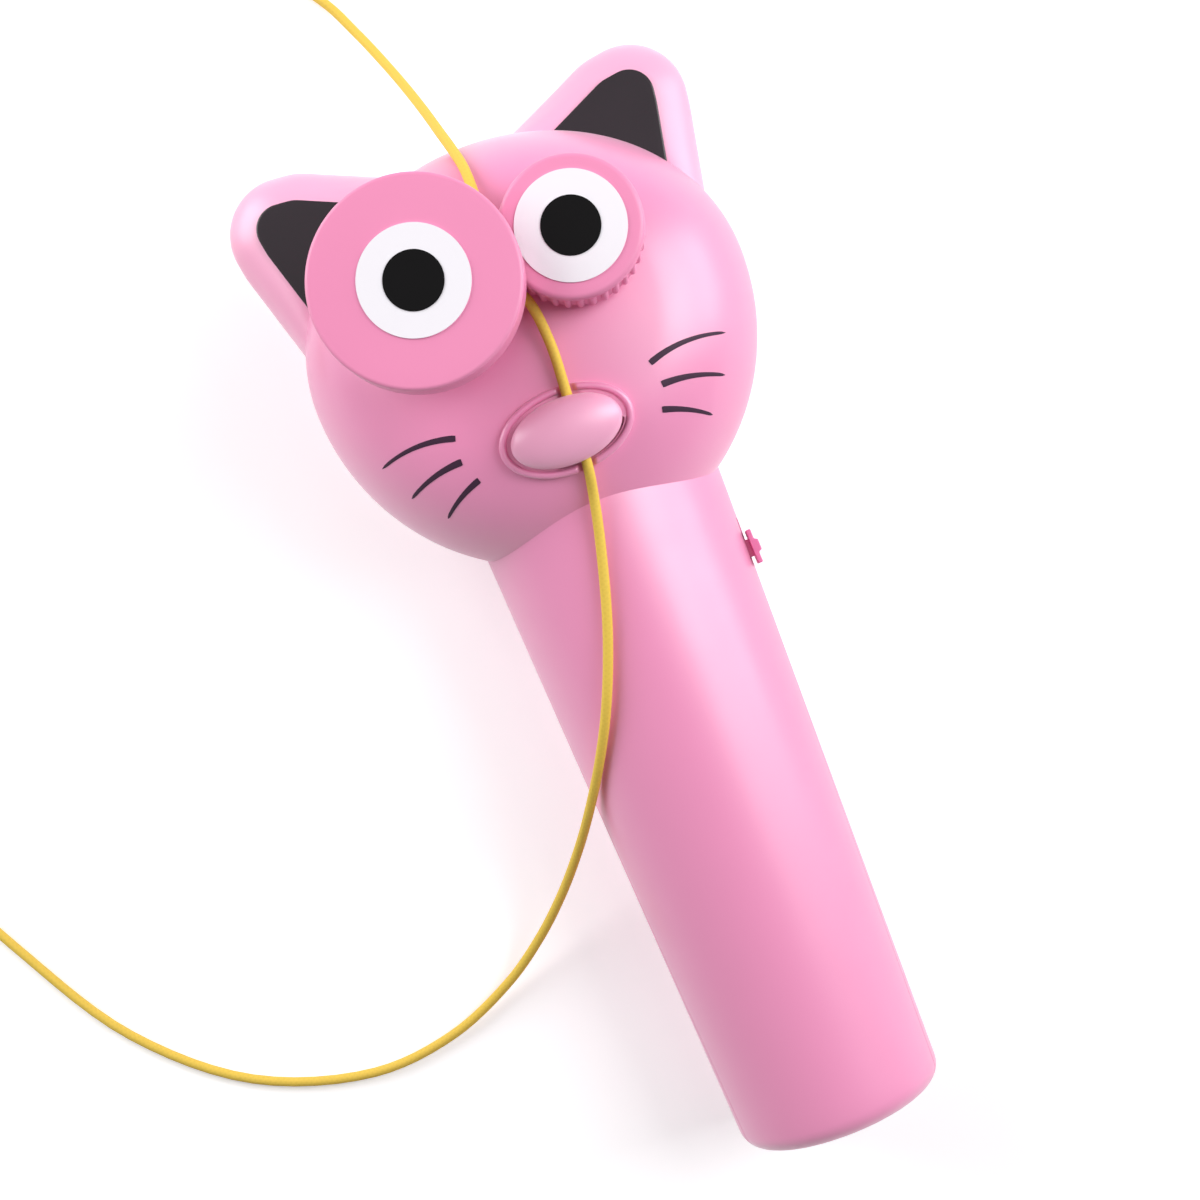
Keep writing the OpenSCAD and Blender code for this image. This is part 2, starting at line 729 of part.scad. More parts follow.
module grip(r, z0, z1) {
  translate([0, 0, z0]) linear_extrude(z1 - z0) difference() {
    circle(r, $fn = 96);
    for (i = [0:groove_count - 1])
      rotate(360 * i / groove_count) translate([r, 0]) circle(groove_r, $fn = 16);
  }
}
module wheel_bush(x) {
  color(brass) translate([x, wheel_y, 0]) difference() {
    rod(hub_r, hub_foot, wheel_base + bush_in);
    rod(shaft_r, hub_foot - 1, shaft_top + 0.5);
  }
}
module large_bush() { wheel_bush(-wheel_x); }
module small_bush() { wheel_bush(wheel_x); }
module large_roller() {
  color(wheel_pink) translate([-wheel_x, wheel_y, 0]) difference() {
    grip(large_r, wheel_base, large_top);
    rod(hub_r, wheel_base - 1, wheel_base + bush_in);
    rod(spigot_r, large_top - spigot_h, large_top + 1);
    rod(pilot_r, large_top - spigot_h - cap_pilot, large_top);
  }
}
module large_wheel_cap() {
  color(wheel_pink) translate([-wheel_x, wheel_y, 0]) difference() {
    union() {
      rod(cap_r, large_top, cap_top - cap_edge);
      translate([0, 0, cap_top - cap_edge]) cylinder(r1 = cap_r, r2 = cap_r - cap_edge, h = cap_edge);
      rod(spigot_r, large_top - spigot_h, large_top + 1);
    }
    rod(hole_r, large_top - spigot_h - 1, cap_top + 1);
    rod(screw_head_r + 0.2, cap_top - screw_head_h - 0.4, cap_top + 1);
  }
}
module cap_screw() {
  color(steel) translate([-wheel_x, wheel_y, 0])
    screw(cap_top - screw_head_h - 0.4, cap_t - screw_head_h - 0.4 + spigot_h + cap_pilot - 1, -1);
}
module small_roller() {
  color(wheel_pink) translate([wheel_x, wheel_y, 0]) difference() {
    grip(small_r, wheel_base, small_top);
    rod(hub_r, wheel_base - 1, wheel_base + bush_in);
  }
}
module eye_label(x, z) { color(label_white) translate([x, wheel_y, 0]) rod(eye_d / 2, z, z + label_t); }
module eye_pupil(x, z) {
  color(panel_black) translate([x, wheel_y, 0]) rod(pupil_d / 2, z + label_t, z + label_t + pupil_t);
}
module large_eye_label() { eye_label(-wheel_x, cap_top); }
module large_eye_pupil() { eye_pupil(-wheel_x, cap_top); }
module small_eye_label() { eye_label(wheel_x, small_top); }
module small_eye_pupil() { eye_pupil(wheel_x, small_top); }

// Motors

module can_form(inset, z0, z1) {
  intersection() {
    rod(motor_w / 2 - inset, z0, z1);
    translate([-motor_w, -motor_t / 2 + inset, z0]) cube([2 * motor_w, motor_t - 2 * inset, z1 - z0]);
  }
}
module motor_can(x) {
  color(steel) translate([x, wheel_y, 0]) difference() {
    union() {
      can_form(0, motor_face - motor_len, motor_face);
      rod(boss_r, motor_face - 1, motor_face + boss_h);
    }
    can_form(motor_wall, motor_face - motor_len - 1, motor_face - 1);
    rod(shaft_r + run_fit, motor_face - 2, motor_face + boss_h + 1);
  }
}
module motor_end_cap(x) {
  color(nylon) translate([x, wheel_y, 0]) difference() {
    can_form(0, motor_back, motor_back + end_cap_t);
    rod(shaft_r + run_fit, motor_back + 0.8, motor_back + end_cap_t + 1);
  }
}
module motor_rotor(x) {
  color(steel) translate([x, wheel_y, 0]) {
    rod(shaft_r, motor_back + 1, shaft_top);
    rod(armature_r, motor_face - motor_len + armature_in, motor_face - armature_in);
  }
}
module left_motor_can() { motor_can(-wheel_x); }
module left_motor_end_cap() { motor_end_cap(-wheel_x); }
module left_motor_rotor() { motor_rotor(-wheel_x); }
module right_motor_can() { motor_can(wheel_x); }
module right_motor_end_cap() { motor_end_cap(wheel_x); }
module right_motor_rotor() { motor_rotor(wheel_x); }
module motor_terminals() {
  color(brass) for (x = [-wheel_x, wheel_x], y = [-tab_out, tab_out])
    translate([x - tab.x / 2, wheel_y + y - tab.y / 2, motor_back - tab.z]) cube(tab);
}
module motor_cradle() {
  color(nylon) difference() {
    translate([-cradle_len / 2, wheel_y - cradle_w / 2, motor_back - cradle_t])
      cube([cradle_len, cradle_w, cradle_t]);
    both_sides() translate([wheel_x, wheel_y, 0]) rod(window_r, motor_back - cradle_t - 1, motor_back + 1);
    at_spots(cradle_spots) rod(hole_r, motor_back - cradle_t - 1, motor_back + 1);
  }
}
module cradle_screws() {
  color(steel) at_spots(cradle_spots) screw(motor_back - cradle_t, cradle_t + pilot_deep - 1);
}

// Switch on the right side of the handle

module switch_body() {
  color("#4A4A4E") difference() {
    translate([switch_front - switch_box.x, switch_mid_y - switch_box.y / 2, part_z - switch_box.z / 2])
      cube(switch_box);
    translate([switch_front - neck_deep - slide_fit, switch_y - neck_l / 2 - slide_fit,
      part_z - neck_w / 2 - slide_fit])
      cube([big, neck_l + switch_travel + 2 * slide_fit, neck_w + 2 * slide_fit]);
  }
}
module switch_knob() {
  color(knob_pink) {
    translate([knob_x, switch_y - knob_l / 2, part_z - knob_w / 2]) difference() {
      cube([knob_up, knob_l, knob_w]);
      for (y = [-1, knob_l / 2 + knob_rib / 2])
        translate([knob_up - knob_dip, y, -1])
          cube([knob_up, knob_l / 2 - knob_rib / 2 + 1, knob_w + 2]);
    }
    translate([switch_front - neck_deep, switch_y - neck_l / 2, part_z - neck_w / 2])
      cube([knob_x - switch_front + neck_deep + 0.1, neck_l, neck_w]);
  }
}

// Battery bay

module at_cells() { for (x = [-1, 1]) translate([x * cell_x, 0, cell_z]) children(); }
module lying(r, y0, y1) { translate([0, y1, 0]) rotate([90, 0, 0]) cylinder(r = r, h = y1 - y0); }
module battery_tray() {
  color(nylon) difference() {
    union() {
      translate([-tray_half, tray_back, cell_z]) cube([2 * tray_half, tray_len, tray_roof - cell_z]);
      for (p = tray_spots) translate([p.x - lug.x / 2, p.y - lug.y / 2 - 0.5, tray_roof - lug.z])
        cube(lug + [0, 1, 0]);
    }
    at_cells() lying(cell_d / 2 + cell_fit, tray_back + tray_end, tray_front - tray_end);
    translate([-cell_x, tray_back + tray_end, cell_z - 1])
      cube([2 * cell_x, contact_t + seat_gap, cell_d / 2 - 1.5 + seat_gap]);
    at_spots(tray_spots) rod(hole_r, tray_roof - lug.z - 1, tray_roof + 1);
  }
}
module tray_screws() {
  color(steel) at_spots(tray_spots) screw(tray_roof - lug.z, lug.z + pilot_deep - 1);
}
module one_cell() {
  rotate([-90, 0, 0]) rotate_extrude() {
    square([cell_d / 2, cell_len - nub_h]);
    square([nub_r, cell_len]);
  }
}
module battery_cells() {
  color("#5E6F86") {
    translate([-cell_x, tray_back + tray_end + spring_room - contact_t - spring_clear, cell_z]) one_cell();
    translate([cell_x, tray_front - tray_end - spring_room + contact_t + spring_clear, cell_z])
      mirror([0, 1, 0]) one_cell();
  }
}
module battery_springs() {
  color(steel) for (side = [[-1, tray_back + tray_end, 1], [1, tray_front - tray_end, -1]])
    translate([side[0] * cell_x, side[1], cell_z])
      tube([for (p = spring_line) [p.x, side[2] * (p.y + spring_seat), p.z]], spring_wire / 2, 6);
}
module battery_contacts() {
  color(brass) {
    at_cells() translate([-contact_w / 2, tray_front - tray_end - contact_t, 0.5])
      cube([contact_w, contact_t, cell_d / 2 - 3]);
    translate([-cell_x - contact_w / 2, tray_back + tray_end, cell_z + 0.5])
      cube([2 * cell_x + contact_w, contact_t, cell_d / 2 - 3]);
  }
}
module battery_door() {
  color(shell_pink) {
    intersection() {
      shell_wall();
      translate([-door_w / 2 + door_gap, tail_y - big, -1])
        cube([door_w - 2 * door_gap, door_front - door_gap - tail_y + big, door_top - door_gap + 1]);
    }
    translate([-latch_w / 2, door_front - latch_l, wall / 2])
      cube([latch_w, latch_l - 2 * door_gap, wall / 2 + door_gap + latch_t / 2]);
    translate([-latch_w / 2, door_front - latch_l, wall + door_gap])
      cube([latch_w, latch_l + latch_out, latch_t]);
    for (x = [-cell_x, cell_x]) translate([x - rib_t / 2, tray_back + door_rib_in, wall / 2])
      cube([rib_t, tray_len - 2 * door_rib_in, cell_z - cell_d / 2 - door_gap - wall / 2]);
  }
}

// Wires

module red_wires() {
  color("#C83232") {
    tube(smooth(red_supply, 3), wire_r, 6);
    tube(smooth(red_feed, 3), wire_r, 6);
  }
}
module black_wires() {
  color("#2A2A2C") {
    tube(smooth(black_supply, 3), wire_r, 6);
    tube(smooth(link_wire, 3), wire_r, 6);
  }
}

// Rope: one closed loop, in two free runs and a coil

module rope_launch_run() { color(rope_yellow) tube(launch_line, rope_d / 2, 8); }
module rope_return_run() { color(rope_yellow) tube(return_line, rope_d / 2, 8); }
module rope_coil() {
  n = len(coil_line);
  gaps = [for (i = [0:n - 1])
    min([for (j = [i + coil_rings / 2:n - 1]) norm(coil_line[i] - coil_line[j]), big])];
  echo(coil_least_gap = min(gaps) - rope_d, coil_length = rope_length(coil_line));
  echo(launch_length = rope_length(launch_line), return_length = rope_length(return_line));
  color(rope_yellow) tube(coil_line, rope_d / 2, 6);
}
module coil_tie() {
  fit = tie_fit + rope_d / 2;
  low = [coil_in - fit, coil_base - fit];
  high = [coil_out + fit, coil_top + fit];
  color(nylon) translate([coil_mid.x, coil_mid.y + tie_w / 2, 0]) rotate([90, 0, 0])
    linear_extrude(tie_w) difference() {
      translate(low - tie_t * [1, 1]) square(high - low + 2 * tie_t * [1, 1]);
      translate(low) square(high - low);
    }
}

front_shell();
rear_shell();
left_ear();
right_ear();
left_ear_panel();
right_ear_panel();
nose_guide();
nose_screw();
shell_screws();
large_roller();
large_bush();
large_wheel_cap();
cap_screw();
large_eye_label();
large_eye_pupil();
small_roller();
small_bush();
small_eye_label();
small_eye_pupil();
left_motor_can();
left_motor_end_cap();
left_motor_rotor();
right_motor_can();
right_motor_end_cap();
right_motor_rotor();
motor_terminals();
motor_cradle();
cradle_screws();
switch_body();
switch_knob();
battery_tray();
tray_screws();
battery_cells();
battery_springs();
battery_contacts();
battery_door();
red_wires();
black_wires();
rope_launch_run();
rope_coil();
rope_return_run();
coil_tie();
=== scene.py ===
"""Dresses the cat-faced rope launcher: casing, ears, wheels, nose, rope and a pale studio."""

import math
from types import SimpleNamespace

import bmesh
import bpy
from mathutils import Matrix, Vector


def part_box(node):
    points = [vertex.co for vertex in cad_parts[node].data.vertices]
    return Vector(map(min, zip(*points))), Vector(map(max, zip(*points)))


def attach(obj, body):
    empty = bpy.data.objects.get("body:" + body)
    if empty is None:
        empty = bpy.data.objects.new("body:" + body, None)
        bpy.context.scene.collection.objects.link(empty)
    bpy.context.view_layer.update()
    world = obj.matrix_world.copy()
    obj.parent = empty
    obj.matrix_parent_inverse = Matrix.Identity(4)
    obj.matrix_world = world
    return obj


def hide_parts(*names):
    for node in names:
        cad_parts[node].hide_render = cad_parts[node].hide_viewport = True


bl_info = {
    "name": "Cat rope launcher",
    "version": (1, 0, 0),
    "blender": (4, 5, 0),
    "location": "View3D > Sidebar > Launcher",
    "description": "Builds the visible pieces of a cat-faced rope launcher over its solid parts",
    "category": "Object",
}

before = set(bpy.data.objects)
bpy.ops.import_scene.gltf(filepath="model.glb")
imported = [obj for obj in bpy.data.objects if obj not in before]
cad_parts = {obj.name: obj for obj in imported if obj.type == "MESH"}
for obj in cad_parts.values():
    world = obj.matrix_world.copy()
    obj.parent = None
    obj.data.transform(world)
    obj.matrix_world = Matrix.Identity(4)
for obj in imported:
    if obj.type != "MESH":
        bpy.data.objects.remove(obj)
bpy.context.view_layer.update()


def box_middle(name):
    """Middle of a CAD node's box."""
    low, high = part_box(name)
    return (low + high) / 2


# Height at which the two shells part, and the middles of the wheels
PART_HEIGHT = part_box("front_shell")[0].z
BIG_CENTRE = box_middle("large_wheel_cap")
SMALL_CENTRE = box_middle("small_roller")
# Radius at which a turned outline starts, as good as on its axis
AXIS = 1e-6
# Angle in degrees past which an edge is shaded sharp
SHARP = 32.0

# Points of the rope's way from the wheels over the head to the coil, in metres
LAUNCH_ROUTE = [
    (0.0004, 0.077, 0.0622), (0.0006, 0.090, 0.0532), (-0.0002, 0.096, 0.0466),
    (-0.0013, 0.1019, 0.0395), (-0.0026, 0.1089, 0.031), (-0.0044, 0.1172, 0.0215),
    (-0.007, 0.1272, 0.0115), (-0.0106, 0.1383, 0.0038), (-0.015, 0.1484, 0.0011),
    (-0.030, 0.167, 0.0011), (-0.062, 0.183, 0.0011), (-0.102, 0.1815, 0.0011),
    (-0.136, 0.161, 0.0011), (-0.1485, 0.141, 0.0013),
]
# And from the coil along the floor, up the handle and under the nose back to the wheels
RETURN_ROUTE = [
    (-0.1535, 0.092, 0.0044), (-0.159, 0.058, 0.0014), (-0.163, 0.026, 0.0011),
    (-0.1595, 0.001, 0.0011), (-0.1505, -0.0185, 0.0011), (-0.136, -0.042, 0.0011),
    (-0.115, -0.0603, 0.0011), (-0.090, -0.0686, 0.0011), (-0.0716, -0.0673, 0.0012),
    (-0.0563, -0.0612, 0.003), (-0.0461, -0.0544, 0.0075), (-0.0377, -0.047, 0.014),
    (-0.0302, -0.0389, 0.0225), (-0.0241, -0.0312, 0.032), (-0.0183, -0.0228, 0.0402),
    (-0.0128, -0.0132, 0.0458), (-0.0069, 0.0005, 0.049), (-0.0019, 0.0165, 0.051),
    (0.0001, 0.0245, 0.0526), (0.0012, 0.0298, 0.0554), (0.0019, 0.0372, 0.0566),
    (0.0027, 0.0447, 0.058), (0.0033, 0.053, 0.0592), (0.0026, 0.061, 0.0616),
    (0.001, 0.0646, 0.0626),
]
# Where the wheels pinch the rope, and the middle of its coil
NIP = (0.00015, 0.06975, 0.0632)
COIL_MIDDLE = (-0.133, 0.120)
# Stretches of the nose's edge, in degrees round it: the slit, and the gate that the rope leaves by
SLIT = (243, 350)
ROPE_GATE = (57, 95)
# Whiskers of the right cheek: root, middle and tip on the face, then the width at the root
WHISKERS = [
    ((0.0193, 0.0437), (0.0268, 0.0452), (0.0349, 0.0445), 0.00125),
    ((0.0199, 0.0393), (0.0258, 0.0389), (0.0319, 0.0372), 0.00135),
    ((0.0182, 0.0350), (0.0228, 0.0334), (0.0269, 0.0311), 0.00125),
]
# How far off their place the whiskers are printed on each cheek: side, across and along
WHISKER_SHIFTS = {"left": (-1, 0.0005, 0.0002), "right": (1, -0.0002, -0.0005)}
# Camera: its place, and its turns in degrees
CAMERA_PLACE = (0.00554, -0.00135, 0.42666)
CAMERA_TURNS = (("Y", 1.788), ("X", 1.104), ("Z", -22.011))
# Lamps: place to the picture's right, up it and towards the camera, then width, height and power
LAMPS = {
    "Key": (-0.64, 0.32, 0.38, 0.6, 0.6, 5.8),
    "Side": (0.60, 0.28, 0.42, 0.5, 0.9, 6.2),
    "Front strip": (0.38, 0.16, 0.66, 0.24, 0.6, 1.1),
}


def linear(code):
    """A written colour such as F7B9D9 as the linear colour that Blender keeps."""
    parts = [int(code[i:i + 2], 16) / 255 for i in (0, 2, 4)]
    return tuple(c / 12.92 if c <= 0.04045 else ((c + 0.055) / 1.055) ** 2.4 for c in parts)


def length(name, about, value):
    """A length setting in metres."""
    return bpy.props.FloatProperty(
        name=name, description=about, default=value, min=0.0, unit="LENGTH", precision=5
    )


def tint(name, about, code):
    """A colour setting."""
    return bpy.props.FloatVectorProperty(
        name=name, description=about, default=linear(code), size=3, min=0.0, max=1.0,
        subtype="COLOR",
    )


class CasingSizes(bpy.types.PropertyGroup):
    """Sizes of the head and the handle."""

    neck_y: length("Neck place", "Where the handle meets the head along the toy", 0.0217492)
    head_y: length("Head place", "Middle of the head along the toy", 0.0607492)
    head_width: length("Head width", "Width of the head", 0.09)
    head_high: length("Head height", "Height of the head above its widest line", 0.0384)
    head_low: length("Head depth", "Depth of the head below its widest line", 0.0465)
    head_mid: length("Head mid height", "Height of the widest line over the floor", 0.031)
    face_edge: length("Face edge", "Rounding of the edge round the face", 0.024)
    face_crown: length("Face crown", "Bulge of the face beyond its edge", 0.002)
    handle_length: length("Handle length", "From the neck to the handle's end", 0.129)
    neck_radius: length("Neck radius", "Radius of the handle at the neck", 0.025)
    tail_radius: length("Tail radius", "Radius of the handle at its end", 0.021)
    tail_round: length("Tail rounding", "Rounding of the handle's end", 0.004)
    back_flat: length("Back flat", "Depth of the flat along the handle's back", 0.0004)
    wall: length("Wall", "Wall of the shells", 0.0022)
    seam: length("Seam", "Depth of the fine line where the shells meet", 0.00045)


class EarSizes(bpy.types.PropertyGroup):
    """Sizes of the ears."""

    angle: bpy.props.FloatProperty(
        name="Ear angle", description="Direction of an ear's tip", default=math.radians(44.2),
        subtype="ANGLE",
    )
    spread: bpy.props.FloatProperty(
        name="Ear spread", description="Spread of an ear's lower corners",
        default=math.radians(35), subtype="ANGLE",
    )
    reach: length("Ear reach", "Tip's middle outside the head's edge", 0.0094)
    lead: length("Left lead", "How much further the left ear reaches, the right one less", 0.0012)
    tip_radius: length("Tip radius", "Radius of an ear's tip", 0.01155)
    mid_radius: length("Middle radius", "Radius of an ear's broad middle", 0.0135)
    mid_back: length("Middle back", "Broad middle behind the tip's middle", 0.0032)
    root_radius: length("Root radius", "Radius of an ear's lower corners", 0.002)
    sink: length("Ear sink", "Depth of the lower corners in the head", 0.005)
    thickness: length("Ear thickness", "Thickness of an ear", 0.013)
    rim: length("Ear rim", "Width of the pink rim round the dark panel", 0.0066)


class NoseSizes(bpy.types.PropertyGroup):
    """Sizes of the nose and of the lip round it."""

    place: length("Nose place", "Nose's middle above the neck", 0.0157)
    half_width: length("Nose half width", "Half of the nose's width", 0.0108)
    half_height: length("Nose half height", "Half of the nose's height", 0.0062)
    crown: length("Nose crown", "Bulge of the nose", 0.0034)
    gap: length("Nose gap", "Room for the rope under the nose", 0.0029)
    skirt: length("Skirt height", "Height over the face of the nose's lowered edge", 0.0011)
    lip_half_width: length("Lip half width", "Half of the lip's width", 0.0132)
    lip_half_height: length("Lip half height", "Half of the lip's height", 0.0082)
    lip_rim: length("Lip rim", "Width of the lip's rim", 0.0015)
    lip_rise: length("Lip rise", "Height of the lip over the face", 0.0013)


class WheelSizes(bpy.types.PropertyGroup):
    """Sizes of the two wheels."""

    cap_radius: length("Cap radius", "Radius of the large wheel's disc", 0.0194)
    large_radius: length("Large drum radius", "Radius of the drum under the disc", 0.0136)
    small_radius: length("Small wheel radius", "Radius of the small wheel", 0.0133)
    collar: length("Collar", "Height of the smooth collar over a wheel's ribs", 0.002)
    rib_depth: length("Rib depth", "Height of a rib on a wheel's rim", 0.00065)
    rib_radius: length("Rib radius", "Rounding of a rib", 0.00078)
    rib_count: bpy.props.IntProperty(
        name="Ribs", description="Ribs round a wheel's rim", default=34, min=8, max=60
    )


class RopeSizes(bpy.types.PropertyGroup):
    """Sizes of the rope and its coil."""

    diameter: length("Rope diameter", "Diameter of the rope", 0.002)
    coil_in: length("Coil inside", "Radius of the coil's innermost turn", 0.0057)
    coil_out: length("Coil outside", "Radius of the coil's outermost turn", 0.0185)
    coil_step: length("Coil step", "Height from one layer to the next", 0.0027)
    coil_base: length("Coil base", "Height of the lowest layer", 0.0017)
    layers: bpy.props.IntProperty(
        name="Layers", description="Layers in the coil", default=4, min=2, max=6
    )
    turns: bpy.props.IntProperty(
        name="Turns", description="Turns in each layer", default=5, min=3, max=8
    )


class Finishes(bpy.types.PropertyGroup):
    """Colours of the toy and its setting."""

    shell: tint("Shell pink", "Satin plastic of the casing", "EA8CB8")
    # painted sheen: a lighter copy of the shell pink that stands in for the sheen the ears and the
    # nose catch
    pale: tint("Pale pink", "Lighter copy of the shell pink, painted sheen on the ears and the nose", "F3A7C9")
    wheel: tint("Wheel pink", "Deeper plastic of the wheels", "E98CB4")
    knob: tint("Knob pink", "Plastic of the switch knob", "E878AB")
    panel: tint("Ear panel", "Glossy inlay of the ears", "251D23")
    label: tint("Label white", "Printed white of the eyes", "EEEAF0")
    pupil: tint("Pupil black", "Printed black of the eyes", "0B0A0B")
    whisker: tint("Whisker print", "Printed whiskers", "3A2337")
    rope: tint("Rope yellow", "Yarn of the rope", "E6C452")
    floor: tint("Floor", "Pale studio floor", "F7F6F7")


class LauncherSettings(bpy.types.PropertyGroup):
    """All settings of the rope launcher."""

    casing: bpy.props.PointerProperty(type=CasingSizes)
    ears: bpy.props.PointerProperty(type=EarSizes)
    nose: bpy.props.PointerProperty(type=NoseSizes)
    wheels: bpy.props.PointerProperty(type=WheelSizes)
    rope: bpy.props.PointerProperty(type=RopeSizes)
    finishes: bpy.props.PointerProperty(type=Finishes)


def settings():
    """The scene's launcher settings."""
    return bpy.context.scene.cat_launcher


# Mesh making


def spread(first, last, count):
    """Evenly spaced values, both ends included."""
    return [first + (last - first) * i / (count - 1) for i in range(count)]


def turns(count):
    """Evenly spaced angles round a full turn."""
    return [2 * math.pi * k / count for k in range(count)]


def smooth_step(value):
    """Eases a value between 0 and 1."""
    t = min(max(value, 0.0), 1.0)
    return t * t * (3 - 2 * t)


def skin_faces(rows, columns, first=0, ring=True):
    """Quads between rows of points, closed round each row if ring is true."""
    faces = []
    for i in range(rows - 1):
        for k in range(columns if ring else columns - 1):
            a = first + i * columns + k
            b = first + i * columns + (k + 1) % columns
            faces.append((a, b, b + columns, a + columns))
    return faces


def new_mesh(points, faces, inside=None, sharp=SHARP, merge=1e-6):
    """A bmesh of these faces, merged, turned outward and smooth between its sharp edges."""
    made = bmesh.new()
    corners = [made.verts.new(p) for p in points]
    for face in faces:
        made.faces.new([corners[i] for i in face])
    bmesh.ops.remove_doubles(made, verts=made.verts[:], dist=merge)
    bmesh.ops.dissolve_degenerate(made, edges=made.edges[:], dist=merge)
    bmesh.ops.recalc_face_normals(made, faces=made.faces[:])
    if inside is not None:
        outward = sum(
            f.calc_area() * f.normal.dot(f.calc_center_median() - Vector(inside))
            for f in made.faces
        )
        if outward < 0:
            bmesh.ops.reverse_faces(made, faces=made.faces[:])
    mark_sharp(made, sharp)
    return made


def mark_sharp(made, angle):
    """Smooth faces with sharp edges where the surface turns more than the angle, in degrees."""
    limit = math.radians(angle)
    for face in made.faces:
        face.smooth = True
    for edge in made.edges:
        edge.smooth = not (edge.is_manifold and edge.calc_face_angle(0.0) > limit)


def new_object(name, data):
    """Adds an object with this data to the scene."""
    made = bpy.data.objects.new(name, data)
    bpy.context.scene.collection.objects.link(made)
    return made


def plain_mesh(name, made):
    """Turns a bmesh into a plain mesh."""
    mesh = bpy.data.meshes.new(name)
    made.to_mesh(mesh)
    made.free()
    return mesh


def dress(piece, material, body, slot, *nodes):
    """Paints a piece, rides it on a body and lets it stand for CAD nodes."""
    if material is not None:
        piece.data.materials.clear()
        piece.data.materials.append(material)
    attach(piece, body)
    if nodes:
        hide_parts(*nodes)
    return piece


def new_piece(name, made, material, body, slot, *nodes):
    """Turns a bmesh into a dressed piece of the toy."""
    return dress(new_object(name, plain_mesh(name, made)), material, body, slot, *nodes)


def paint_node(name, material):
    """Gives a CAD node a finished material."""
    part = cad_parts[name]
    part.data.materials.clear()
    part.data.materials.append(material)


def bake_modifiers(piece):
    """Replaces a piece's mesh by what its modifiers make of it."""
    bpy.context.view_layer.update()
    graph = bpy.context.evaluated_depsgraph_get()
    plain = bpy.data.meshes.new_from_object(piece.evaluated_get(graph))
    old = piece.data
    piece.modifiers.clear()
    piece.data = plain
    plain.name = piece.name
    bpy.data.meshes.remove(old)


def turned_mesh(outline, steps, centre):
    """A closed solid of revolution round an upright axis; its outline starts and ends on it."""
    points = [
        (centre.x + radius * math.cos(a), centre.y + radius * math.sin(a), height)
        for radius, height in outline for a in turns(steps)
    ]
    return new_mesh(points, skin_faces(len(outline), steps))


def rounded_corner(corner, before, after, radius, steps=5):
    """Points of a rounded corner between two straight sides of an outline."""
    c = Vector(corner)
    u = (Vector(before) - c).normalized()
    v = (Vector(after) - c).normalized()
    start = c + u * radius
    end = c + v * radius
    points = []
    for i in range(steps + 1):
        t = i / steps
        points.append(tuple(start * (1 - t) ** 2 + c * 2 * t * (1 - t) + end * t * t))
    return points


# Materials


def fill(tree, made, inputs):
    """Links or sets a node's inputs, given by name or number."""
    for key, value in inputs.items():
        if isinstance(value, bpy.types.NodeSocket):
            tree.links.new(value, made.inputs[key])
        else:
            made.inputs[key].default_value = value


def node(tree, kind, inputs=None, **values):
    """Adds a node, sets its plain properties, and links or sets its inputs."""
    made = tree.nodes.new(kind)
    for key, value in values.items():
        setattr(made, key, value)
    fill(tree, made, inputs or {})
    return made


def result(tree, kind, inputs=None, **values):
    """First output of a new node."""
    return node(tree, kind, inputs, **values).outputs[0]


def math_node(tree, operation, *inputs):
    """Output of a maths node with these inputs."""
    return result(tree, "ShaderNodeMath", dict(enumerate(inputs)), operation=operation)


def new_sockets(tree, way, kind, *names):
    """Adds named inputs or outputs of one kind to a node group."""
    for name in names:
        tree.interface.new_socket(name, in_out=way, socket_type=f"NodeSocket{kind}")


def new_material(name):
    """A material with its node tree and its shader."""
    material = bpy.data.materials.new(name)
    material.use_nodes = True
    return material, material.node_tree, material.node_tree.nodes["Principled BSDF"]


def plastic_group():
    """Shared look of moulded plastic: faint colour drift, fine texture and uneven gloss."""
    name = "Moulded plastic"
    if name in bpy.data.node_groups:
        return bpy.data.node_groups[name]
    tree = bpy.data.node_groups.new(name, "ShaderNodeTree")
    new_sockets(tree, "INPUT", "Color", "Color")
    new_sockets(tree, "INPUT", "Float", "Drift", "Gloss", "Grain size")
    new_sockets(tree, "OUTPUT", "Color", "Color")
    new_sockets(tree, "OUTPUT", "Float", "Roughness", "Height")
    start = node(tree, "NodeGroupInput").outputs
    place = node(tree, "ShaderNodeTexCoord").outputs["Object"]

    def noise(scale, detail):
        inputs = {"Vector": place, "Scale": scale, "Detail": detail}
        return result(tree, "ShaderNodeTexNoise", inputs)

    broad = noise(26.0, 3.0)
    fine = noise(start["Grain size"], 2.0)
    scuff = noise(140.0, 6.0)
    least = math_node(tree, "MULTIPLY_ADD", start["Drift"], -0.5, 1.0)
    swing = math_node(tree, "MULTIPLY_ADD", broad, start["Drift"], least)
    shade = result(tree, "ShaderNodeHueSaturation", {"Value": swing, "Color": start["Color"]})
    rough = math_node(tree, "MULTIPLY_ADD", scuff, 0.10, start["Gloss"])
    node(tree, "NodeGroupOutput", {"Color": shade, "Roughness": rough, "Height": fine})
    return tree


def plastic(
    name, colour, gloss=0.3, drift=0.05, grain=0.02, grain_size=3000.0, pearl=0.0, shine=0.5
):
    """Moulded plastic material."""
    if name in bpy.data.materials:
        return bpy.data.materials[name]
    material, tree, shader = new_material(name)
    look = node(tree, "ShaderNodeGroup", {
        "Color": (*colour, 1.0), "Drift": drift, "Gloss": gloss - 0.05, "Grain size": grain_size,
    }, node_tree=plastic_group()).outputs
    bump = result(tree, "ShaderNodeBump", {
        "Strength": grain, "Distance": 0.0002, "Height": look["Height"],
    })
    fill(tree, shader, {
        "Base Color": look["Color"], "Roughness": look["Roughness"],
        "Normal": bump, "Specular IOR Level": shine, "Sheen Weight": pearl,
        "Sheen Roughness": 0.5,
    })
    return material


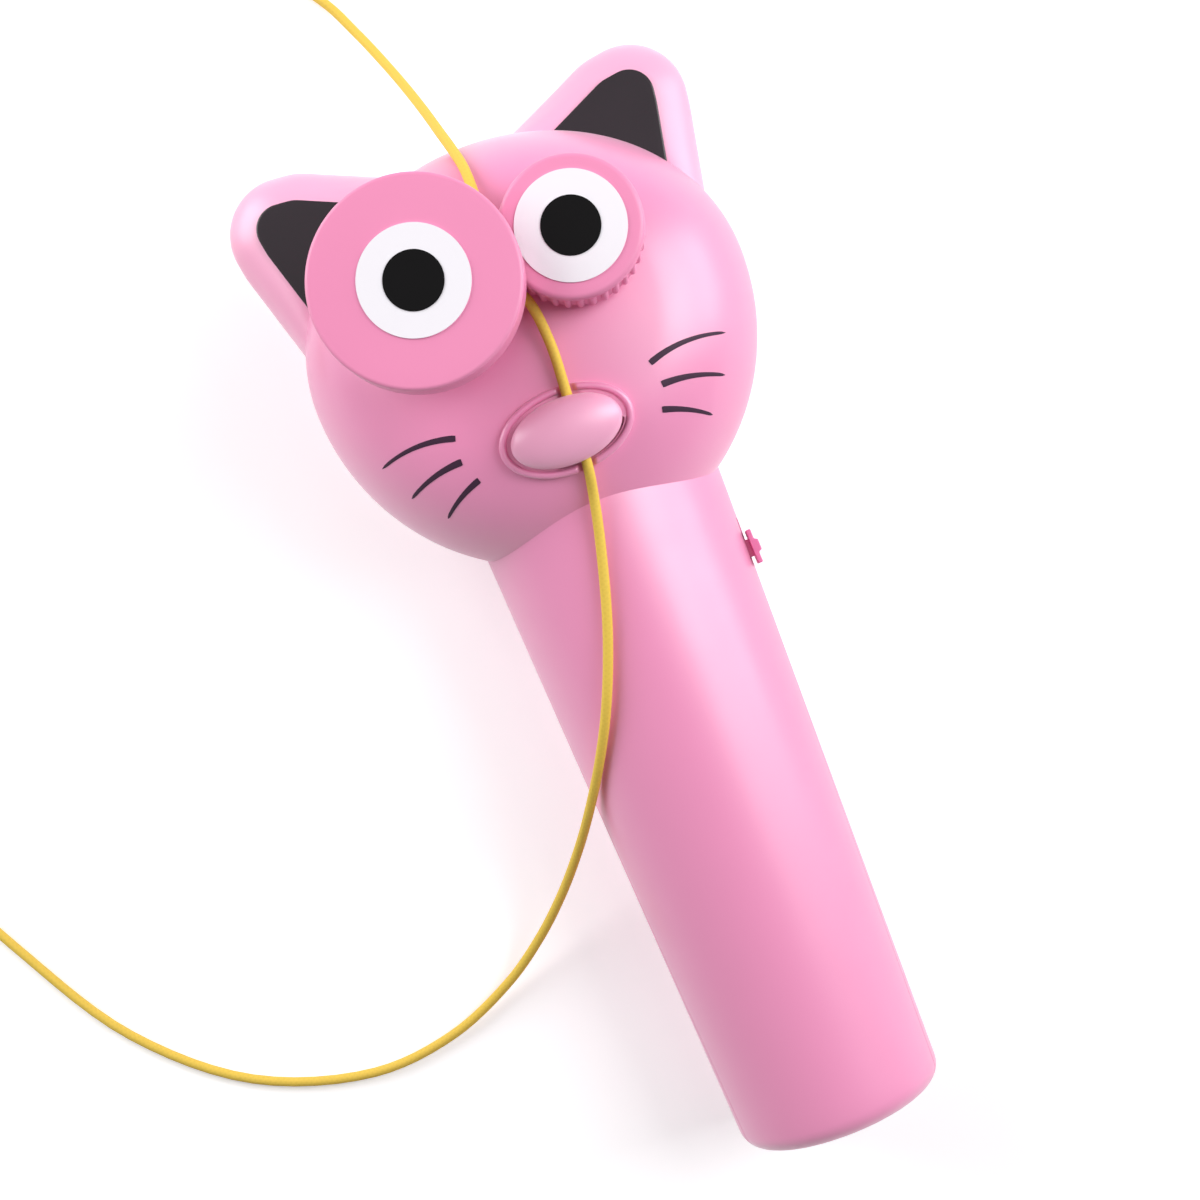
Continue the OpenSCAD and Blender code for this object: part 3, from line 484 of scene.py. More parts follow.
def metal(name, colour, gloss=0.3, grain_size=900.0):
    """Plated metal with fine drawn marks."""
    material = plastic(name, colour, gloss=gloss, drift=0.12, grain=0.06, grain_size=grain_size)
    material.node_tree.nodes["Principled BSDF"].inputs["Metallic"].default_value = 1.0
    return material


def shell_plastic():
    """Satin pink of the casing."""
    pink = settings().finishes.shell
    return plastic("Satin pink plastic", pink, gloss=0.34, pearl=0.3, shine=1.0)


def sheen_lit_plastic():
    """Lighter copy of the shell pink for the ears and the nose, whose paleness is painted sheen."""
    pink = settings().finishes.pale
    return plastic("Sheen-lit pale pink plastic", pink, gloss=0.38, pearl=0.3, shine=0.9)


def wheel_plastic():
    """Deeper pink of the wheels."""
    return plastic("Deep pink plastic", settings().finishes.wheel, gloss=0.38, drift=0.06)


def rope_yarn():
    """Braided yarn that follows the rope by its own map, with painted shade in the grooves between
    strands and a faint painted highlight on their crests.
    """
    pitch, strand_pairs = 0.0011, 4
    material, tree, shader = new_material("Braided yellow yarn")
    place = node(tree, "ShaderNodeUVMap", uv_map="Along").outputs["UV"]
    split = node(tree, "ShaderNodeSeparateXYZ", {0: place}).outputs
    along = math_node(tree, "MULTIPLY", split["X"], 2 * math.pi / pitch)
    strands = []
    for hand in (1.0, -1.0):
        twist = hand * 2 * math.pi * strand_pairs
        turn = math_node(tree, "MULTIPLY_ADD", split["Y"], twist, along)
        strands.append(math_node(tree, "SINE", turn))
    weave = math_node(tree, "MAXIMUM", *strands)
    # painted shade and highlight: the yarn's colour darkens to 0.96 in the grooves between strands
    # and lifts to 1.02 on their crests
    depth = result(tree, "ShaderNodeMapRange", {
        "Value": weave, "From Min": -1.0, "To Min": 0.96, "To Max": 1.02,
    })
    shade = result(tree, "ShaderNodeHueSaturation", {
        "Color": (*settings().finishes.rope, 1.0), "Value": depth,
    })
    bump = result(tree, "ShaderNodeBump", {
        "Strength": 0.12, "Distance": 0.00006, "Height": weave,
    })
    fill(tree, shader, {
        "Base Color": shade, "Normal": bump, "Roughness": 0.7, "Specular IOR Level": 0.25,
    })
    return material


# Form of the casing


def casing_form():
    """Sizes that follow from the casing's settings."""
    s = settings().casing
    c = SimpleNamespace()
    c.neck_y, c.head_y = s.neck_y, s.head_y
    c.half = s.head_width / 2
    c.high = s.head_high / c.half
    c.low = s.head_low / c.half
    c.mid = s.head_mid
    c.edge = s.face_edge
    c.flat = c.half - c.edge
    c.back = c.half - c.mid
    c.top = c.mid + c.edge + s.face_crown
    c.face = (c.flat ** 2 + (c.edge + s.face_crown) ** 2 - c.edge ** 2) / (2 * s.face_crown)
    c.face_z = c.top - c.face
    c.turn = math.asin(c.flat / (c.face - c.edge))
    c.join_z = c.face_z + c.face * math.cos(c.turn)
    c.face_len = c.face * c.turn
    c.edge_len = c.edge * (math.pi / 2 - c.turn)
    c.back_len = c.mid * math.pi / 2
    c.part = PART_HEIGHT
    c.part_len = c.face_len + c.edge_len + c.mid * math.asin((c.mid - c.part) / c.mid)
    c.whole_len = c.face_len + c.edge_len + c.back_len + c.back
    c.taper = math.atan((s.neck_radius - s.tail_radius) / s.handle_length)
    c.neck = s.neck_radius
    c.axis_z = s.neck_radius * math.cos(c.taper) - s.back_flat
    c.end = s.handle_length
    c.tail_mid = (
        s.neck_radius - (c.end - s.tail_round) * math.tan(c.taper)
        - s.tail_round / math.cos(c.taper)
    )
    c.tail_round = s.tail_round
    c.tail_side = c.end - s.tail_round + s.tail_round * math.sin(c.taper)
    c.seam = s.seam
    c.wall = s.wall
    return c


def head_outline(c, s):
    """Radius and height of the head at a distance along its outline from the face's middle."""
    if s < c.face_len:
        a = s / c.face
        return c.face * math.sin(a), c.face_z + c.face * math.cos(a)
    s -= c.face_len
    if s < c.edge_len:
        a = c.turn + s / c.edge
        return c.flat + c.edge * math.sin(a), c.mid + c.edge * math.cos(a)
    s -= c.edge_len
    if s < c.back_len:
        a = math.pi / 2 + s / c.mid
        return c.back + c.mid * math.sin(a), c.mid + c.mid * math.cos(a)
    return max(c.back - (s - c.back_len), 0.0), 0.0


def head_radius(c, z):
    """Radius of the head at a height."""
    if z >= c.join_z:
        return math.sqrt(max(c.face ** 2 - (z - c.face_z) ** 2, 0.0))
    if z >= c.mid:
        return c.flat + math.sqrt(max(c.edge ** 2 - (z - c.mid) ** 2, 0.0))
    return c.back + math.sqrt(max(c.mid ** 2 - (z - c.mid) ** 2, 0.0))


def outline_length(c, r, z):
    """Distance along the head's outline of a point on it."""
    if z >= c.join_z:
        return c.face * math.asin(min(r / c.face, 1.0))
    if z >= c.mid:
        return c.face_len + c.edge * (math.atan2(r - c.flat, z - c.mid) - c.turn)
    if r > c.back:
        turn = math.atan2(r - c.back, z - c.mid) - math.pi / 2
        return c.face_len + c.edge_len + c.mid * turn
    return c.face_len + c.edge_len + c.back_len + c.back - r


def from_middle(c, x, y):
    """Distance of a point from the head's middle, with the head's two halves made round."""
    return math.hypot(x, (y - c.head_y) / (c.high if y > c.head_y else c.low))


def head_point(c, s, a):
    """Point on the head at a distance along its outline, in a direction."""
    r, z = head_outline(c, s)
    y = r * math.sin(a)
    return Vector((r * math.cos(a), c.head_y + y * (c.high if y > 0 else c.low), z))


def face_height(c, x, y):
    """Height of the face over a point."""
    r = from_middle(c, x, y)
    if r < c.face * math.sin(c.turn):
        return c.face_z + math.sqrt(c.face ** 2 - r * r)
    return c.mid + math.sqrt(max(c.edge ** 2 - (r - c.flat) ** 2, 0.0))


def face_normal(c, x, y):
    """Direction straight out of the face over a point."""
    d = 0.0002
    dx = (face_height(c, x + d, y) - face_height(c, x - d, y)) / (2 * d)
    dy = (face_height(c, x, y + d) - face_height(c, x, y - d)) / (2 * d)
    return Vector((-dx, -dy, 1.0)).normalized()


def handle_point(c, down, radius, turn):
    """Point on the handle, a distance below the neck and turned round its axis."""
    x = radius * math.cos(turn)
    y = c.neck_y - radius * math.sin(turn) * math.sin(c.taper) - down * math.cos(c.taper)
    z = c.axis_z + radius * math.sin(turn) * math.cos(c.taper) - down * math.sin(c.taper)
    return Vector((x, y, max(z, 0.0)))


def handle_turn(c, down, radius, front, u):
    """Angle round the handle's axis of a line that runs from one seam to the other."""
    lift = (c.part - c.axis_z + down * math.sin(c.taper)) / (radius * math.cos(c.taper))
    seam = math.asin(min(max(lift, -1.0), 1.0))
    if front:
        return seam + u * (math.pi - 2 * seam)
    return math.pi - seam + u * (math.pi + 2 * seam)


def crease_point(c, front, u):
    """Where a line along the handle enters the head, and how far below the neck that is."""
    # the crease lies between these two distances, which close in on it by halves
    outer, inner = 0.015, -0.026
    for _ in range(50):
        down = (outer + inner) / 2
        radius = c.neck - down * math.tan(c.taper)
        p = handle_point(c, down, radius, handle_turn(c, down, radius, front, u))
        if from_middle(c, p.x, p.y) > head_radius(c, p.z):
            outer = down
        else:
            inner = down
    return p, down


def seam_point(c, p):
    """A point of the seam, drawn in a little so that the two shells leave a fine line."""
    inset = 0.02
    tail = c.neck_y - c.end + inset
    step = Vector((0.0, min(max(p.y, tail), c.head_y), c.part)) - p
    step.z = 0.0
    return p + step.normalized() * c.seam


def handle_stations(c, front, down):
    """Distances below the neck and radii, from the crease along the handle and in to its end."""
    stations = [(d, c.neck - d * math.tan(c.taper)) for d in spread(down, c.tail_side, 44)[1:]]
    for a in spread(c.taper, math.pi / 2, 9)[1:]:
        stations.append((
            c.end - c.tail_round + c.tail_round * math.sin(a),
            c.tail_mid + c.tail_round * math.cos(a),
        ))
    # the front half's end stops at the seam, and the rear half's goes in to the axis
    lift = (c.part - c.axis_z + c.end * math.sin(c.taper)) / math.cos(c.taper)
    last = lift * 1.0001 if front else 1e-5
    return stations + [(c.end, r) for r in spread(c.tail_mid, last, 12)[1:]]


def handle_rows(c, front, us, creases):
    """Rows of points along the handle, from one seam round to the other."""
    rows = []
    for u, (start, crease_down) in zip(us, creases):
        row = [start]
        for down, radius in handle_stations(c, front, crease_down):
            row.append(handle_point(c, down, radius, handle_turn(c, down, radius, front, u)))
        if u in (0.0, 1.0):
            row = [seam_point(c, p) for p in row]
        rows.append(row)
    return rows


def head_rays(c, front, creases):
    """Rays from the head's middle: direction, reach along the outline and, if any, crease point."""
    rays = []
    for start, _ in creases:
        r = from_middle(c, start.x, start.y)
        a = math.atan2((start.y - c.head_y) / c.low, start.x)
        rays.append((a % (2 * math.pi), outline_length(c, r, start.z), start))
    if front:
        rays.reverse()
    # beside the seam the crease runs along a ray, so the rays are kept a little apart
    apart, centre = 0.0012, len(rays) // 2
    for i in range(1, centre):
        rays[i] = (max(rays[i][0], rays[i - 1][0] + apart), *rays[i][1:])
    for i in range(len(rays) - 2, centre, -1):
        rays[i] = (min(rays[i][0], rays[i + 1][0] - apart), *rays[i][1:])
    low, high = rays[0][0], rays[-1][0]
    return rays + [
        (a, c.part_len, None) for a in spread(high, low + 2 * math.pi, 200)[1:-1]
    ]


def half_skin(c, front, lines=96, rings=60):
    """Points and faces of the front or rear half of the casing's outer skin."""
    edge, seam_gap, crease_gap = 0.0035, 0.00025, 0.0008
    us = [0.0, *spread(edge, 1 - edge, lines), 1.0]
    creases = [crease_point(c, front, u) for u in us]
    rows = handle_rows(c, front, us, creases)
    points = [p for row in rows for p in row]
    faces = skin_faces(len(rows), len(rows[0]), ring=False)
    first, columns = len(points), rings + 1
    rays = head_rays(c, front, creases)
    pole = 0.0 if front else c.whole_len
    for i, (a, reach, crease) in enumerate(rays):
        stop = abs(reach - pole) - (seam_gap if crease is None else crease_gap)
        for d in spread(AXIS, stop, rings):
            points.append(head_point(c, pole + math.copysign(d, reach - pole), a))
        end = head_point(c, reach, a) if crease is None else crease
        on_seam = crease is None or i in (0, len(creases) - 1)
        points.append(seam_point(c, end) if on_seam else end)
        for k in range(rings):
            here = first + i * columns + k
            beside = first + (i + 1) % len(rays) * columns + k
            faces.append((here, here + 1, beside + 1, beside))
    return points, faces


def drop_faces(made, inside):
    """Takes away the faces whose middles pass a test."""
    gone = [f for f in made.faces if inside(f.calc_center_median())]
    bmesh.ops.delete(made, geom=gone, context="FACES")


def cut_out(made, inside, near, planes):
    """Cuts the faces near a spot along planes, and takes away those inside it."""
    for place, normal in planes:
        picked = [f for f in made.faces if near(f.calc_center_median())]
        parts = set(picked)
        for f in picked:
            parts.update(f.edges)
            parts.update(f.verts)
        bmesh.ops.bisect_plane(
            made, geom=list(parts), dist=1e-7, plane_co=place, plane_no=normal
        )
    drop_faces(made, inside)


def cut_round(made, x, y, radius, floor):
    """Cuts a round hole through the face."""

    def inside(p):
        return p.z > floor and math.hypot(p.x - x, p.y - y) < radius

    drop_faces(made, inside)
    for v in made.verts:
        off = Vector((v.co.x - x, v.co.y - y))
        if v.is_boundary and v.co.z > floor and off.length < 2 * radius:
            off *= radius / off.length
            v.co.x, v.co.y = x + off.x, y + off.y


def thicken(c, made):
    """Gives an open skin an inner wall and a rim."""
    holder = new_object("skin", plain_mesh("skin", made))
    solid = holder.modifiers.new("Wall", "SOLIDIFY")
    solid.thickness = c.wall
    solid.offset = -1.0
    solid.use_rim = True
    bake_modifiers(holder)
    walled = bmesh.new()
    walled.from_mesh(holder.data)
    bpy.data.meshes.remove(holder.data)
    # beside the seam a corner of the wall can poke out at the neck, and is drawn in
    band = 0.005
    for v in walled.verts:
        if abs(v.co.z - c.part) < band and outside(c, v.co):
            inward = Vector((-v.co.x, 0.0, 0.0)).normalized()
            v.co += inward * 2 * c.wall
    mark_sharp(walled, SHARP)
    return walled


def outside(c, p):
    """Whether a point lies clear of both the head and the handle."""
    down = (c.neck_y - p.y) * math.cos(c.taper) + (c.axis_z - p.z) * math.sin(c.taper)
    across = (p.z - c.axis_z) * math.cos(c.taper) + (c.neck_y - p.y) * math.sin(c.taper)
    off_handle = math.hypot(p.x, across) - (c.neck - down * math.tan(c.taper))
    off_head = from_middle(c, p.x, p.y) - head_radius(c, p.z)
    slack, past_end = 0.00005, 0.001
    return off_head > slack and (off_handle > slack or down >= c.end + past_end)


def switch_slot(c):
    """What lies in and near the knob's slot in the handle's side, and the planes round it."""
    low, high, half, side = 0.00265, 0.01135, 0.0016, 0.015
    near_low, near_high, near_half = -0.002, 0.016, 0.006

    def inside(p):
        return p.x > side and low < p.y < high and abs(p.z - c.part) < half

    def near(p):
        return p.x > side and near_low < p.y < near_high and abs(p.z - c.part) < near_half

    return inside, near, [
        ((0, low, 0), (0, 1, 0)), ((0, high, 0), (0, 1, 0)),
        ((0, 0, c.part + half), (0, 0, 1)), ((0, 0, c.part - half), (0, 0, 1)),
    ]


def door_gap(c):
    """What lies in and near the battery door's place in the rear shell, and the planes round it."""
    half, top, long, front_margin, top_margin = 0.016, 0.012, 0.0735, 0.004, 0.003
    front = min(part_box("battery_door")[1].y, c.neck_y - c.end + long)

    def inside(p):
        return abs(p.x) < half and p.y < front and p.z < top

    def near(p):
        return p.y < front + front_margin and p.z < top + top_margin

    return inside, near, [
        ((half, 0, 0), (1, 0, 0)), ((-half, 0, 0), (1, 0, 0)),
        ((0, front, 0), (0, 1, 0)), ((0, 0, top), (0, 0, 1)),
    ]


def shell_mesh(c, front):
    """Front or rear half of the casing with its wall and its holes."""
    hole, face_floor = 0.0041, 0.045
    points, faces = half_skin(c, front)
    made = new_mesh(points, faces, inside=(0.0, c.head_y, c.mid))
    cut_out(made, *switch_slot(c))
    if not front:
        cut_out(made, *door_gap(c))
        return thicken(c, made)
    for spot in (BIG_CENTRE, SMALL_CENTRE):
        cut_round(made, spot.x, spot.y, hole, face_floor)
    drop_faces(made, lambda p: under_nose(c, p))
    made = thicken(c, made)
    points, faces = lip_skin(c)
    below = (0.0, c.neck_y + settings().nose.place, 0.04)
    lip = plain_mesh("lip", new_mesh(points, faces, inside=below, sharp=50.0))
    made.from_mesh(lip)
    bpy.data.meshes.remove(lip)
    return made


# Nose


def nose_form(c):
    """Middle and tilt of the nose on the face."""
    y = c.neck_y + settings().nose.place
    normal = face_normal(c, 0.0, y)
    return Vector((0.0, y, face_height(c, 0.0, y))), math.atan2(-normal.y, normal.z)


def nose_place(spot, tilt, p):
    """A point of the nose's own frame in the toy's frame."""
    y = p[1] * math.cos(tilt) - p[2] * math.sin(tilt)
    z = p[1] * math.sin(tilt) + p[2] * math.cos(tilt)
    return Vector((spot.x + p[0], spot.y + y, spot.z + z))


def oval_skin(c, outline, steps):
    """Rings of an oval outline on the nose's place: two half widths, a height and a drop."""
    spot, tilt = nose_form(c)
    points = []
    for wide, tall, height, drop in outline:
        for a in turns(steps):
            p = (wide * math.cos(a), tall * math.sin(a), height - drop * skirt_share(a))
            points.append(nose_place(spot, tilt, p))
    return points, skin_faces(len(outline), steps)


def opening(turn, first, last):
    """How open a stretch of the nose's edge is, between two directions in degrees."""
    ease = 6
    return smooth_step((turn - first) / ease) * smooth_step((last - turn) / ease)


def skirt_share(a):
    """Where the nose's edge comes down to the lip: not over the slit, nor over the rope."""
    turn = math.degrees(a)
    return 1.0 - opening(turn, *SLIT) - opening(turn, *ROPE_GATE)


def lip_rings(steps):
    """Rings of half widths and a height, up the lip's outside, over its rim and down again."""
    n = settings().nose
    shoulder = 0.00055
    profile = [(0.0, -0.0022), (0.0, -0.0004), (-0.0001, 0.00045)]
    for i in range(1, 12):
        a = math.pi * i / 12
        profile.append((
            n.lip_rim / 2 * (math.cos(a) - 1), shoulder + (n.lip_rise - shoulder) * math.sin(a),
        ))
    profile.append((-n.lip_rim + 0.00005, 0.00062))
    rings = [
        [(n.lip_half_width + off, n.lip_half_height + off, height)] * steps
        for off, height in profile
    ]
    shelf_wide, shelf_tall, slit_wide, slit_tall = 0.0102, 0.0057, 0.0011, 0.00085
    slits = [opening(math.degrees(a), *SLIT) for a in turns(steps)]
    shelf = [(shelf_wide + slit_wide * slit, shelf_tall + slit_tall * slit) for slit in slits]
    for grow, height in ((0.00008, 0.0007), (0.0, 0.0006), (0.0, -0.0018)):
        rings.append([(wide + grow, tall + grow, height) for wide, tall in shelf])
    return [*rings, rings[0]]


def lip_skin(c, steps=180):
    """Rounded oval lip round the nose, with a groove for the rope and a slit at one side."""
    spot, tilt = nose_form(c)
    turn = math.radians(7)
    groove_x, groove_half, groove_slope, groove_floor = 0.002, 0.00105, 0.0009, 0.0003
    rings = lip_rings(steps)
    points = []
    for ring in rings:
        for a, (wide, tall, height) in zip(turns(steps), ring):
            x, y = wide * math.cos(a), tall * math.sin(a)
            off = (x - groove_x) * math.cos(turn) - y * math.sin(turn)
            keep = smooth_step((abs(off) - groove_half) / groove_slope)
            if height > groove_floor:
                height = groove_floor + (height - groove_floor) * keep
            points.append(nose_place(spot, tilt, (x, y, height)))
    return points, skin_faces(len(rings), steps)


def under_nose(c, p):
    """Whether a point of the face lies under the nose, where the rope's way is open."""
    half_width, half_height, depth = 0.0107, 0.0060, 0.01
    spot, tilt = nose_form(c)
    y = (p.y - spot.y) * math.cos(tilt) + (p.z - spot.z) * math.sin(tilt)
    return p.z > spot.z - depth and (p.x / half_width) ** 2 + (y / half_height) ** 2 < 1


def leg_outline():
    """Outline of the nose's leg: the smaller part of an oval that is cut straight across."""
    half_width, half_height, cut = 0.0105, 0.0059, -0.0044
    turn = math.acos(cut / half_width)
    return [
        (half_width * math.cos(a), half_height * math.sin(a))
        for a in spread(turn, 2 * math.pi - turn, 65)
    ]


def nose_mesh(c):
    """Puffy nose on its leg."""
    n = settings().nose
    crown_share = 0.955
    outline = [(AXIS, AXIS, n.gap + n.crown, 0.0)]
    for i in range(1, 25):
        a = math.pi / 2 * i / 24 * crown_share
        grow = math.sin(a)
        outline.append(
            (n.half_width * grow, n.half_height * grow, n.gap + n.crown * math.cos(a), 0.0)
        )
    side, drop, leaf = outline[-1], n.gap - n.skirt, 0.0002
    for inward, height, fall in (
        (-0.00005, 0.00008, 0.0), (-0.00005, 0.00004, drop), (0.00015, -0.00012, drop),
        (0.0005, -0.00018, drop), (0.0009, -0.00018, drop), (0.001, -leaf, 0.0),
    ):
        outline.append((side[0] - inward, side[1] - inward, n.gap + height, fall))
    outline.append((AXIS, AXIS, n.gap - leaf, 0.0))
    points, faces = oval_skin(c, outline, 144)
    spot, tilt = nose_form(c)
    leg = leg_outline()
    foot, head = len(points), len(points) + len(leg)
    for height in (0.0, n.gap + leaf):
        points += [nose_place(spot, tilt, (x, y, height)) for x, y in leg]
    faces += skin_faces(2, len(leg), foot)
    faces.append(tuple(range(foot, head)))
    faces.append(tuple(reversed(range(head, len(points)))))
    return new_mesh(points, faces, sharp=40.0, merge=1e-7)


# Ears


def hull_outline(circles, samples=96):
    """Convex outline round circles given as x, y and radius."""
    dots = sorted({
        (x + r * math.cos(a), y + r * math.sin(a)) for x, y, r in circles for a in turns(samples)
    })

    def half(run):
        out = []
        for p in run:
            while len(out) > 1:
                (ax, ay), (bx, by) = out[-2], out[-1]
                if (bx - ax) * (p[1] - ay) - (by - ay) * (p[0] - ax) > 0:
                    break
                out.pop()
            out.append(p)
        return out[:-1]

    return half(dots) + half(dots[::-1])


def even_ring(outline, count, start):
    """A closed outline as evenly spaced points, from the one furthest in a direction."""
    reaches = [x * start[0] + y * start[1] for x, y in outline]
    first = reaches.index(max(reaches))
    loop = outline[first:] + outline[:first]
    loop.append(loop[0])
    gaps = [math.dist(loop[i], loop[i + 1]) for i in range(len(loop) - 1)]
    total = sum(gaps)
    ring, i, done = [], 0, 0.0
    for k in range(count):
        goal = total * k / count
        while done + gaps[i] < goal:
            done += gaps[i]
            i += 1
        t = (goal - done) / gaps[i] if gaps[i] else 0.0
        a, b = loop[i], loop[i + 1]
        ring.append((a[0] + (b[0] - a[0]) * t, a[1] + (b[1] - a[1]) * t))
    return ring


def ear_circles(c, side):
    """Circles that an ear is drawn round, from the head's middle."""
    e = settings().ears
    high = c.high * c.half
    reach = e.reach - side * e.lead

    def at(angle, out):
        edge = 1 / math.sqrt((math.cos(angle) / c.half) ** 2 + (math.sin(angle) / high) ** 2)
        return (edge + out) * math.cos(angle), (edge + out) * math.sin(angle)

    return [
        (*at(e.angle, reach), e.tip_radius),
        (*at(e.angle, reach - e.mid_back), e.mid_radius),
        (*at(e.angle - e.spread, -e.sink), e.root_radius),
        (*at(e.angle + e.spread, -e.sink), e.root_radius),
    ]


def inset_outline(outline, inset):
    """A convex outline drawn in by an even distance."""
    count, slack = len(outline), 0.00004
    sides = []
    for i, (x, y) in enumerate(outline):
        nx, ny = outline[(i + 1) % count]
        size = math.hypot(nx - x, ny - y)
        sides.append((x, y, (ny - y) / size, (x - nx) / size))
    inner = []
    for i, (x, y, ox, oy) in enumerate(sides):
        mx, my = ox + sides[i - 1][2], oy + sides[i - 1][3]
        size = math.hypot(mx, my)
        px, py = x - mx / size * inset, y - my / size * inset
        least = min((ax - px) * bx + (ay - py) * by for ax, ay, bx, by in sides)
        if least > inset - slack:
            inner.append((px, py))
    return inner


def closing_rings(ring, height, shares):
    """Smaller and smaller copies of a ring that close it to a point."""
    count = len(ring)
    middle = [sum(p[i] for p in ring) / count for i in (0, 1)]
    return [
        [(middle[0] + (p[0] - middle[0]) * s, middle[1] + (p[1] - middle[1]) * s, height)
         for p in ring]
        for s in shares
    ]


def ear_mesh(c, side):
    """Puffy ear: rings of its rounded outline from the back to the front."""
    e = settings().ears
    circles = ear_circles(c, side)
    tip = (math.cos(e.angle), math.sin(e.angle))
    half = e.thickness / 2
    count = 144
    rows = []
    for i in range(41):
        b = -math.pi / 2 + math.pi * i / 40
        k = max(math.cos(b), 0.0)
        ring = even_ring(hull_outline([(x, y, r * k) for x, y, r in circles]), count, tip)
        rows.append([(x, y, half * math.sin(b)) for x, y in ring])
    shares = (0.8, 0.55, 0.3, 0.001)
    back, front = closing_rings(rows[0], -half, shares[::-1]), closing_rings(rows[-1], half, shares)
    rows = back + rows + front
    points = [Vector((side * x, c.head_y + y, c.mid + z)) for row in rows for x, y, z in row]
    return new_mesh(points, skin_faces(len(rows), count), sharp=40.0)


def panel_mesh(c, side):
    """Dark inlay of an ear with a softly rounded edge."""
    e = settings().ears
    tip = (math.cos(e.angle), math.sin(e.angle))
    base = c.mid + e.thickness / 2
    whole = even_ring(hull_outline(ear_circles(c, side)), 400, tip)
    sink, side_up, bend, rise = 0.0012, 0.00012, 0.0004, 0.00026
    levels = [(0.0, -sink), (0.0, side_up)]
    for i in range(1, 6):
        a = math.pi / 2 * i / 5
        levels.append((bend * (1 - math.cos(a)), side_up + rise * math.sin(a)))
    count = 128
    rows = []
    for inset, up in levels:
        ring = even_ring(inset_outline(whole, e.rim + inset), count, tip)
        rows.append([(x, y, up) for x, y in ring])
    rows += closing_rings(rows[-1], levels[-1][1], (0.85, 0.6, 0.3, 0.001))
    points = [Vector((side * x, c.head_y + y, base + z)) for row in rows for x, y, z in row]
    faces = skin_faces(len(rows), count)
    faces.append(tuple(range(count)))
    return new_mesh(points, faces, sharp=40.0)


# Wheels


def rib_tree():
    """Geometry nodes that stand rounded ribs round a wheel's rim."""
    name = "Ribbed rim"
    if name in bpy.data.node_groups:
        return bpy.data.node_groups[name]
    tree = bpy.data.node_groups.new(name, "GeometryNodeTree")
    new_sockets(tree, "INPUT", "Geometry", "Geometry")
    new_sockets(tree, "INPUT", "Int", "Ribs")
    new_sockets(tree, "INPUT", "Float", "Rim radius", "Rib radius", "Low end", "High end")
    new_sockets(tree, "INPUT", "Vector", "Middle")
    new_sockets(tree, "INPUT", "Material", "Material")
    new_sockets(tree, "OUTPUT", "Geometry", "Geometry")
    start = node(tree, "NodeGroupInput").outputs
    low = result(tree, "ShaderNodeCombineXYZ", {"Z": start["Low end"]})
    high = result(tree, "ShaderNodeCombineXYZ", {"Z": start["High end"]})
    line = result(tree, "GeometryNodeCurvePrimitiveLine", {"Start": low, "End": high})
    line = result(tree, "GeometryNodeResampleCurve", {"Curve": line, "Count": 13})
    along = result(tree, "GeometryNodeSplineParameter")
    centred = math_node(tree, "MULTIPLY_ADD", along, 2.0, -1.0)
    left = math_node(tree, "SUBTRACT", 1.0, math_node(tree, "POWER", centred, 10.0))
    swell = math_node(tree, "MULTIPLY", math_node(tree, "SQRT", left), start["Rib radius"])
    circle = result(tree, "GeometryNodeCurvePrimitiveCircle", {"Resolution": 12, "Radius": 1.0})
    rib = result(tree, "GeometryNodeCurveToMesh", {
        "Curve": line, "Profile Curve": circle, "Scale": swell, "Fill Caps": True,
    })
    spots = result(tree, "GeometryNodeMeshCircle", {
        "Vertices": start["Ribs"], "Radius": start["Rim radius"],
    })
    ribs = result(tree, "GeometryNodeInstanceOnPoints", {"Points": spots, "Instance": rib})
    ribs = result(tree, "GeometryNodeTransform", {
        "Geometry": ribs, "Translation": start["Middle"],
    })
    ribs = result(tree, "GeometryNodeRealizeInstances", {"Geometry": ribs})
    ribs = result(tree, "GeometryNodeSetShadeSmooth", {"Geometry": ribs})
    both = node(tree, "GeometryNodeJoinGeometry", {"Geometry": start["Geometry"]})
    fill(tree, both, {"Geometry": ribs})
    paint = result(tree, "GeometryNodeSetMaterial", {
        "Geometry": both.outputs[0], "Material": start["Material"],
    })
    node(tree, "NodeGroupOutput", {"Geometry": paint})
    return tree


def drum_outline(core, radius, low, step, high):
    """Outline of a drum with a smooth rounded collar over its ribbed part."""
    outline = [(AXIS, low)]
    outline += rounded_corner((core, low), (0, low), (core, high), 0.0004)
    outline.append((core, step))
    outline += rounded_corner((radius, step), (core, step), (radius, high), 0.0002)
    outline += rounded_corner((radius, high), (radius, step), (0, high), 0.0011, 8)
    outline += [(radius - 0.002, high), (AXIS, high)]
    return outline


def ribbed_drum(name, centre, radius, body, cad_node):
    """Wheel rim with ribs, made by geometry nodes and turned into a plain mesh."""
    w = settings().wheels
    low, high = (corner.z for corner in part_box(cad_node))
    step = high - w.collar
    foot, sink = 0.0002, 0.0003
    made = turned_mesh(drum_outline(radius - w.rib_depth, radius, low, step, high), 136, centre)
    piece = new_object(name, plain_mesh(name, made))
    tree = rib_tree()
    ribs = piece.modifiers.new("Ribs", "NODES")
    ribs.node_group = tree
    values = {
        "Ribs": w.rib_count, "Rim radius": radius - w.rib_radius, "Rib radius": w.rib_radius,
        "Low end": low + foot, "High end": step + sink,
        "Middle": (centre.x, centre.y, 0.0), "Material": wheel_plastic(),
    }
    for item in tree.interface.items_tree:
        if item.in_out == "INPUT" and item.name in values:
            ribs[item.identifier] = values[item.name]
    bake_modifiers(piece)
    return dress(piece, None, body, "wheel", cad_node)


